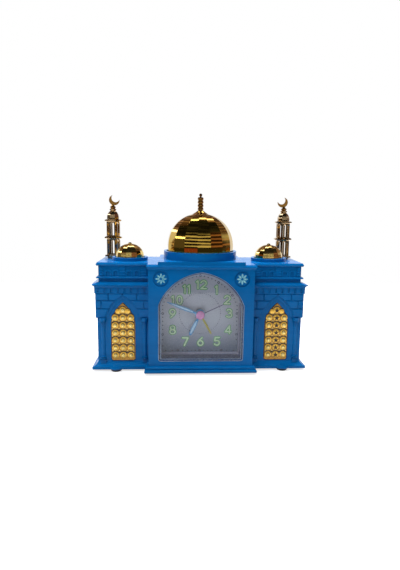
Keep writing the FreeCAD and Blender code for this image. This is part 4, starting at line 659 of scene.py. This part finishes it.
def window_outline(inward):
    """The crystal opening's outline, moved inwards, counter-clockwise from the lower right."""
    half, low, radius = WINDOW_HALF - inward, WINDOW_LOW + inward, WINDOW_RADIUS - inward
    shoulder, apex, corner = WINDOW_SHOULDER, WINDOW_APEX - inward, max(CORNER_LEAST, WINDOW_CORNER - inward)
    points = bow(half - corner, low + corner, corner, corner, -90, 0, 6)
    chord = Vector((-half, apex - shoulder))
    reach = math.sqrt(radius ** 2 - (chord.length / 2) ** 2) / chord.length
    cx, cz = half / 2 - chord.y * reach, (shoulder + apex) / 2 - half * reach
    start, end = (math.degrees(math.atan2(z - cz, x - cx)) for x, z in ((half, shoulder), (0.0, apex)))
    points += bow(cx, cz, radius, radius, start, end, 18)
    return points + [(-x, z) for x, z in reversed(points[:-1])]


# Painted highlight and painted shade: opaque pale bands stand for light caught on the crystal's bevelled
# edge, and a dark band for the shade beside it.
RIM_PAINTED_HIGHLIGHT = finish("crystal_rim", (132, 154, 184), 0.25, 0.0, 0.3, 90.0, specular=0.3)
RIM_PAINTED_SHADE = finish("crystal_rim_painted_shade", (20, 40, 84), 0.3, 0.0, 0.2, 120.0)
DIAL_RING = finish("dial_ring", (128, 130, 156), 0.4, 0.1, 0.08, 300.0)
# Painted shade: a thin dark slate sheet on the well's wall, between dial and crystal, stands for the shade
# that falls there.
WELL_PAINTED_SHADE = finish("well_painted_shade", (10, 26, 60), 0.4, 0.0, 0.15, 200.0)
# Each row has name, outer and inner edge inwards of the opening, back, front, material and slot.
for name, outer, inner, back, front, material, slot in (
        ("crystal_rim_painted_highlight", 0.2, 0.7, 33.9, 34.97, RIM_PAINTED_HIGHLIGHT, "clear_plastic"),
        ("crystal_rim_painted_shade", 0.7, 1.1, 34.8, 34.95, RIM_PAINTED_SHADE, "clear_plastic"),
        ("crystal_bevel_painted_highlight", 2.3, 2.7, 34.85, 34.95, RIM_PAINTED_HIGHLIGHT, "clear_plastic"),
        ("dial_ring", 1.25, 2.3, 12.0, 17.5, DIAL_RING, "dial_card"),
        ("well_wall_painted_shade", 1.22, 1.36, 17.4, 33.2, WELL_PAINTED_SHADE, "blue_plastic")):
    made = Build()
    made.band(window_outline(outer), window_outline(inner), back, front)
    made.make(name, material, slot=slot)

# ---------------------------------------------------------------- wing relief

WALL, PARAPET, COLUMN = 23.0, 20.1, 22.6        # fronts of the wall and parapet, middle of the half columns
WING = 72.3                                     # middle of a wing's arch
ARCH_RADIUS, ARCH_PAST, ARCH_SPRING = 34.0, 17.3, 42.6   # its centres lie past the middle
ARCH_GAP, BRICKS_END = 0.9, 24.3
COURSES = [(51.5, 59.2, None), (59.8, 66.9, 19.7), (67.5, 73.6, 13.0)]  # foot, top, upright joint
JOINT_HALF, BRICK_RELIEF, BRICK_CHAMFER = 0.3, 0.45, 0.3
PILASTERS = ((91.9, 1.5), (72.45, 2.7), (53.0, 2.7))     # middle, half width
PILASTER_LEVELS = (90.3, 92.9, 95.5, 98.0)
COURSE_REACH, COURSE_HEIGHT, COURSE_RELIEF, COURSE_CHAMFER = 0.35, 1.1, 0.95, 0.25
COLUMNS = (90.9, 52.1)
COLUMN_RINGS = ((12.0, 12.9, 2.7), (13.3, 13.9, 2.45), (46.4, 47.2, 2.5), (47.6, 50.9, 3.1))  # z, z, radius
RING_STEPS = 12


def arch_side(z):
    """Half width of the outer arch of the band at height z, from its middle."""
    return -ARCH_PAST + math.sqrt(max(0.0, ARCH_RADIUS ** 2 - (z - ARCH_SPRING) ** 2))


def bricks(wall):
    """Wall bricks on both sides of the arch, in three courses; the inner ones are cut to its curve."""
    front = WALL + BRICK_RELIEF
    for z0, z1, joint in COURSES:
        heights = [z0 + (z1 - z0) * k / 6.0 for k in range(7)]
        for way in (-1, 1):
            curve = [(WING + way * (arch_side(z) + ARCH_GAP), z) for z in heights]
            far = WING + way * BRICKS_END
            near = WING + way * joint - way * JOINT_HALF if joint else far
            outline = [(near, z0), (near, z1)] + curve[::-1] if way > 0 else [(near, z1), (near, z0)] + curve
            wall.plate(outline, WALL, front, BRICK_CHAMFER)
            if joint:
                low, high = sorted((far, WING + way * joint + way * JOINT_HALF))
                wall.plate([(low, z0), (high, z0), (high, z1), (low, z1)], WALL, front, BRICK_CHAMFER)


def pilaster_courses(band):
    """Raised courses on the parapet's pilasters."""
    for centre, half in PILASTERS:
        left, right = centre - (half + COURSE_REACH), centre + (half + COURSE_REACH)
        for low in PILASTER_LEVELS:
            high = low + COURSE_HEIGHT
            band.plate([(left, low), (right, low), (right, high), (left, high)], PARAPET,
                       PARAPET + COURSE_RELIEF, COURSE_CHAMFER)


def column_rings(rings):
    """Rings of the half columns' bases and capitals."""
    for x in COLUMNS:
        for z0, z1, radius in COLUMN_RINGS:
            turns = [math.pi * k / RING_STEPS for k in range(RING_STEPS + 1)]
            arc = [(x + radius * math.cos(a), COLUMN + radius * math.sin(a)) for a in turns]
            count = len(arc)
            faces = [list(range(count)), list(range(count, 2 * count))[::-1]]
            faces += [[k, k + count, (k + 1) % count + count, (k + 1) % count] for k in range(count)]
            rings.add([(px, f, z) for z in (z0, z1) for px, f in arc], faces)


SIDES = ((-1, "left"), (1, "right"))
for side, word in SIDES:
    for name, work in (("brick_relief_", bricks), ("pilaster_courses_", pilaster_courses),
                       ("column_rings_", column_rings)):
        made = Build(side)
        work(made)
        made.make(name + word, BLUE, slot="blue_plastic")

# ---------------------------------------------------------------- lattice relief, with painted shadows and highlights

# Painted shade: near-black discs and stars stand for the shadow above each scallop, round each boss, under
# each stud and in the star openings.
LATTICE_PAINTED_SHADE = finish("lattice_painted_shade", (34, 20, 10), 0.35, 0.3, 0.3, 900.0)
LATTICE, SUNK = 22.3, 0.1                       # front of the panel; depth at which relief starts in it
CELL, FIRST_ROW, ROWS = 7.2, 14.6, 7            # the middle column has all rows, its neighbours one less
SCALLOP, SCALLOP_HIGH = 3.3, 0.7
BOSS_SHADE, BOSS_SHADE_HIGH, BOSS, BOSS_HIGH = 1.85, 0.62, 1.75, 1.2
STAR_INNER, STAR_OUTER, STAR_HIGH = 1.2, 2.7, 0.7
TOP_SCALLOP, TOP_OFFSET, TOP_LEVEL, TOP_HIGH = 2.5, 4.5, 56.9, 0.6
STUD, STUD_HIGH, STUD_ROW, STUD_ROWS, STUD_MARGIN = 0.72, 0.75, 18.2, 6, 0.4
STUD_COLUMNS = (-9.75, -3.6, 3.6, 9.75)
PANEL_HALF, PANEL_SHOULDER, PANEL_POINT, PANEL_BULGE = 10.6, 51.0, 13.5, 0.72


def lattice_gap(x, z):
    """How far inside the pointed panel a point lies."""
    lean = max(0.0, (z - PANEL_SHOULDER) / PANEL_POINT)
    return PANEL_HALF * (1 - lean) ** PANEL_BULGE - abs(x - WING)


def star(x, z):
    """Outline of a five-pointed star."""
    points = []
    for k in range(10):
        radius, a = STAR_INNER if k % 2 else STAR_OUTER, math.pi / 2 + k * math.pi / 5
        points.append((x + radius * math.cos(a), z + radius * math.sin(a)))
    return points


def lattice_cell(x, z, starred, scallops, bosses, painted_shadows):
    """A scallop with a painted shadow above it, and a boss on a dark disc of painted shade or, in the right
    panel's middle, a star painted dark as shade.
    """
    painted_shadows.disc(x, z + 1.3, SCALLOP, LATTICE, LATTICE + 0.04)
    scallops.dome(x, z + 0.3, SCALLOP, LATTICE - SUNK, SCALLOP_HIGH, 4, 20)
    if starred:
        painted_shadows.plate(star(x, z), LATTICE, LATTICE + STAR_HIGH)
    else:
        painted_shadows.disc(x, z + 0.3, BOSS_SHADE, LATTICE, LATTICE + BOSS_SHADE_HIGH, 18)
        bosses.dome(x, z - 0.1, BOSS, LATTICE + 0.3, BOSS_HIGH)


for side, word in SIDES:
    scallops, bosses, painted_shadows = Build(side), Build(side), Build(side)
    for column in (-1, 0, 1):
        for row in range(ROWS - abs(column)):
            lattice_cell(WING + CELL * column, FIRST_ROW + CELL * row, side > 0 and column == 0,
                         scallops, bosses, painted_shadows)
    for x in (WING - TOP_OFFSET, WING + TOP_OFFSET):
        # painted shadow above each top scallop
        painted_shadows.disc(x, TOP_LEVEL + 0.7, TOP_SCALLOP, LATTICE, LATTICE + 0.03, 16)
        scallops.dome(x, TOP_LEVEL, TOP_SCALLOP, LATTICE - SUNK, TOP_HIGH, 4, 16)
    for offset in STUD_COLUMNS:
        for row in range(STUD_ROWS):
            x, z = WING + offset, STUD_ROW + CELL * row
            if lattice_gap(x, z) > STUD_MARGIN:
                bosses.dome(x, z + 0.9, STUD, LATTICE - SUNK, STUD_HIGH, 3, 10)
                # painted shade under each stud
                painted_shadows.disc(x, z - 0.7, 0.7, LATTICE, LATTICE + 0.05, 8)
    scallops.make("lattice_scallops_" + word, GOLD_SCALLOP, slot="gold_plating", smooth=True)
    bosses.make("lattice_bosses_" + word, GOLD_BOSS_PAINTED_HIGHLIGHT, slot="gold_plating", smooth=True)
    painted_shadows.make("lattice_painted_shadows_" + word, LATTICE_PAINTED_SHADE, slot="gold_plating")

# ---------------------------------------------------------------- dome spring

SPRING_FOOT, SPRING_TOP, DOME_TRAVEL = 104.8, 121.0, 2.5
SPRING_RADIUS, SPRING_WIRE, SPRING_RISE = 7.6, 0.45, 15.3
HALF_TURNS, TURN_STEPS = 7, 12                  # steps in each half turn


def coil_point(step):
    """Point of the spring's wire; it winds up from the foot."""
    a = math.pi * step / TURN_STEPS
    rise = SPRING_RISE * a / (HALF_TURNS * math.pi)
    return SPRING_RADIUS * math.cos(a), -SPRING_RADIUS * math.sin(a), SPRING_FOOT + SPRING_WIRE + rise


coil = Build()
coil.tube([coil_point(step) for step in range(HALF_TURNS * TURN_STEPS + 1)], SPRING_WIRE, 8)
spring = coil.make("dome_spring_coil", MATERIALS["steel"], slot="steel", smooth=True)
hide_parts("dome_spring")
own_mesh(spring)

# ---------------------------------------------------------------- stage

FLOOR_HALF, FLOOR_FRONT, FLOOR_BACK = 0.5, -0.46, 0.5    # the crystal shows the front edge, as in the photo
FLOOR_GLOW = 0.72                               # with the lamps' light, this is white


def paper_floor():
    """White paper that keeps the object's shadow; it glows only for camera, glossy and transmission rays."""
    mesh = bpy.data.meshes.new("floor")
    mesh.from_pydata([(-FLOOR_HALF, FLOOR_FRONT, 0), (FLOOR_HALF, FLOOR_FRONT, 0),
                      (FLOOR_HALF, FLOOR_BACK, 0), (-FLOOR_HALF, FLOOR_BACK, 0)], [], [[0, 1, 2, 3]])
    floor = bpy.data.objects.new("floor", mesh)
    scene.collection.objects.link(floor)
    paper = Surface("floor_paper")
    tone = paper.ramp(paper.noise(30.0), [(0.3, (0.5, 0.5, 0.5, 1)), (0.7, (0.52, 0.52, 0.52, 1))])
    paper.link(tone, paper.shader.inputs["Base Color"])
    paper.set(Roughness=0.9, Specular_IOR_Level=0.1)
    glow = paper.new("ShaderNodeEmission")
    glow.inputs["Color"].default_value = (1, 1, 1, 1)
    seen = paper.math("MAXIMUM", paper.ray("Is Camera Ray"), paper.ray("Is Transmission Ray"))
    seen = paper.math("MAXIMUM", seen, paper.ray("Is Glossy Ray"))
    paper.link(paper.math("MULTIPLY", seen, FLOOR_GLOW), glow.inputs["Strength"])
    total = paper.new("ShaderNodeAddShader")
    paper.link(paper.shader.outputs["BSDF"], total.inputs[0])
    paper.link(glow.outputs["Emission"], total.inputs[1])
    paper.link(total.outputs["Shader"], paper.tree.nodes["Material Output"].inputs["Surface"])
    mesh.materials.append(paper.material)
    return floor


floor = paper_floor()

# ---------------------------------------------------------------- light

# Pairs are the start and end of something, or of a soft border. Angles are in radians from straight in front
# of the object, negative to the left; levels are the sine of the height.
BLINDS_ANGLES, BLINDS_LEVELS, SLATS = (-0.95, 0.55), (-0.12, 0.64), 37.0
LEFT_WALL_EDGE, LEFT_WALL_LEVELS = (-1.05, -0.95), (-0.4, 0.42)
CARPET_ANGLES, GROUND_EDGE = (-0.95, -0.2), (-0.08, -0.05)
PAPER_TOP, PAPER_START = (0.28, 0.38), (0.24, 0.32)      # level where the white ends; y where it begins


def studio():
    """White paper behind the object; on the viewer's side, for reflections, a room with blinds and drapes."""
    world = bpy.data.worlds.new("studio")
    scene.world = world
    world.use_nodes = True
    n = Nodes(world.node_tree, "Generated")
    back = world.node_tree.nodes["Background"]
    x, y, z = n.axis("X"), n.axis("Y"), n.axis("Z")
    around = n.math("ARCTAN2", x, n.math("MULTIPLY", y, -1.0))
    rise = n.math("ADD", n.math("ARCSINE", z), n.spread(n.noise(9.0), -0.03, 0.03))
    slats = n.spread(n.math("SINE", n.math("MULTIPLY", rise, SLATS)), 0.0, 1.0, -0.1, 0.6)
    spots = n.spread(n.noise(14.0, 2.0), 0.0, 1.0, 0.5, 0.66)

    def within(value, low, high, soft=0.03):
        return n.math("MULTIPLY", n.spread(value, 0.0, 1.0, low - soft, low + soft),
                      n.spread(value, 1.0, 0.0, high - soft, high + soft))

    blinds = n.mix(slats, (0.012, 0.01, 0.01, 1), (0.9, 0.87, 0.78, 1))
    drapes = n.mix(slats, (0.04, 0.02, 0.018, 1), (0.44, 0.22, 0.16, 1))
    ceiling = n.mix(spots, (0.01, 0.01, 0.01, 1), (0.05, 0.05, 0.046, 1))
    ahead_wall = n.mix(within(around, *BLINDS_ANGLES), drapes, blinds)
    room = n.mix(within(z, *BLINDS_LEVELS), ceiling, ahead_wall)
    room = n.mix(n.spread(around, 1.0, 0.0, *LEFT_WALL_EDGE), room,
                 n.mix(within(z, *LEFT_WALL_LEVELS), ceiling, (0.13, 0.11, 0.085, 1)))
    below = n.mix(within(around, *CARPET_ANGLES), (0.04, 0.04, 0.03, 1), (0.34, 0.08, 0.05, 1))
    room = n.mix(n.spread(z, 1.0, 0.0, *GROUND_EDGE), room, below)
    over = n.mix(spots, (0.1, 0.06, 0.05, 1), (0.58, 0.38, 0.3, 1))
    behind = n.mix(n.spread(z, 1.0, 0.0, *PAPER_TOP), over, (1, 1, 1, 1))
    seen = n.mix(n.spread(y, 0.0, 1.0, *PAPER_START), room, behind)
    soft = n.mix(n.spread(z, 0.0, 1.0, -0.5, 0.9), (0.15, 0.16, 0.18, 1), (0.5, 0.5, 0.5, 1))
    mirrored = n.math("MAXIMUM", n.ray("Is Glossy Ray"), n.ray("Is Transmission Ray"))
    colour = n.mix(n.ray("Is Camera Ray"), n.mix(mirrored, soft, seen), (1, 1, 1, 1))
    n.link(colour, back.inputs["Color"])
    back.inputs["Strength"].default_value = 1.0


studio()


def softbox(name, place, target, width, height, watts, mirrored=True):
    """Rectangular lamp that looks at a target; mirrored says whether glossy surfaces show it."""
    lamp = bpy.data.lights.new(name, "AREA")
    lamp.shape = "RECTANGLE"
    lamp.size = width
    lamp.size_y = height
    lamp.energy = watts
    made = bpy.data.objects.new(name, lamp)
    made.location = place
    made.rotation_euler = (Vector(target) - Vector(place)).to_track_quat("-Z", "Y").to_euler()
    made.visible_glossy = mirrored
    scene.collection.objects.link(made)


softbox("key_box", (-0.35, -0.45, 1.25), (0, 0, 0.06), 0.8, 0.5, 13.0, False)
softbox("top_box", (0.1, 0.3, 1.25), (0, 0, 0.1), 0.8, 0.4, 24.0, False)
softbox("rear_strip", (-0.15, 0.42, 1.25), (0, 0, 0.12), 1.5, 0.16, 3.0)
softbox("left_strip", (-1.0, 0.3, 0.54), (0, 0, 0.12), 1.2, 0.08, 1.5)
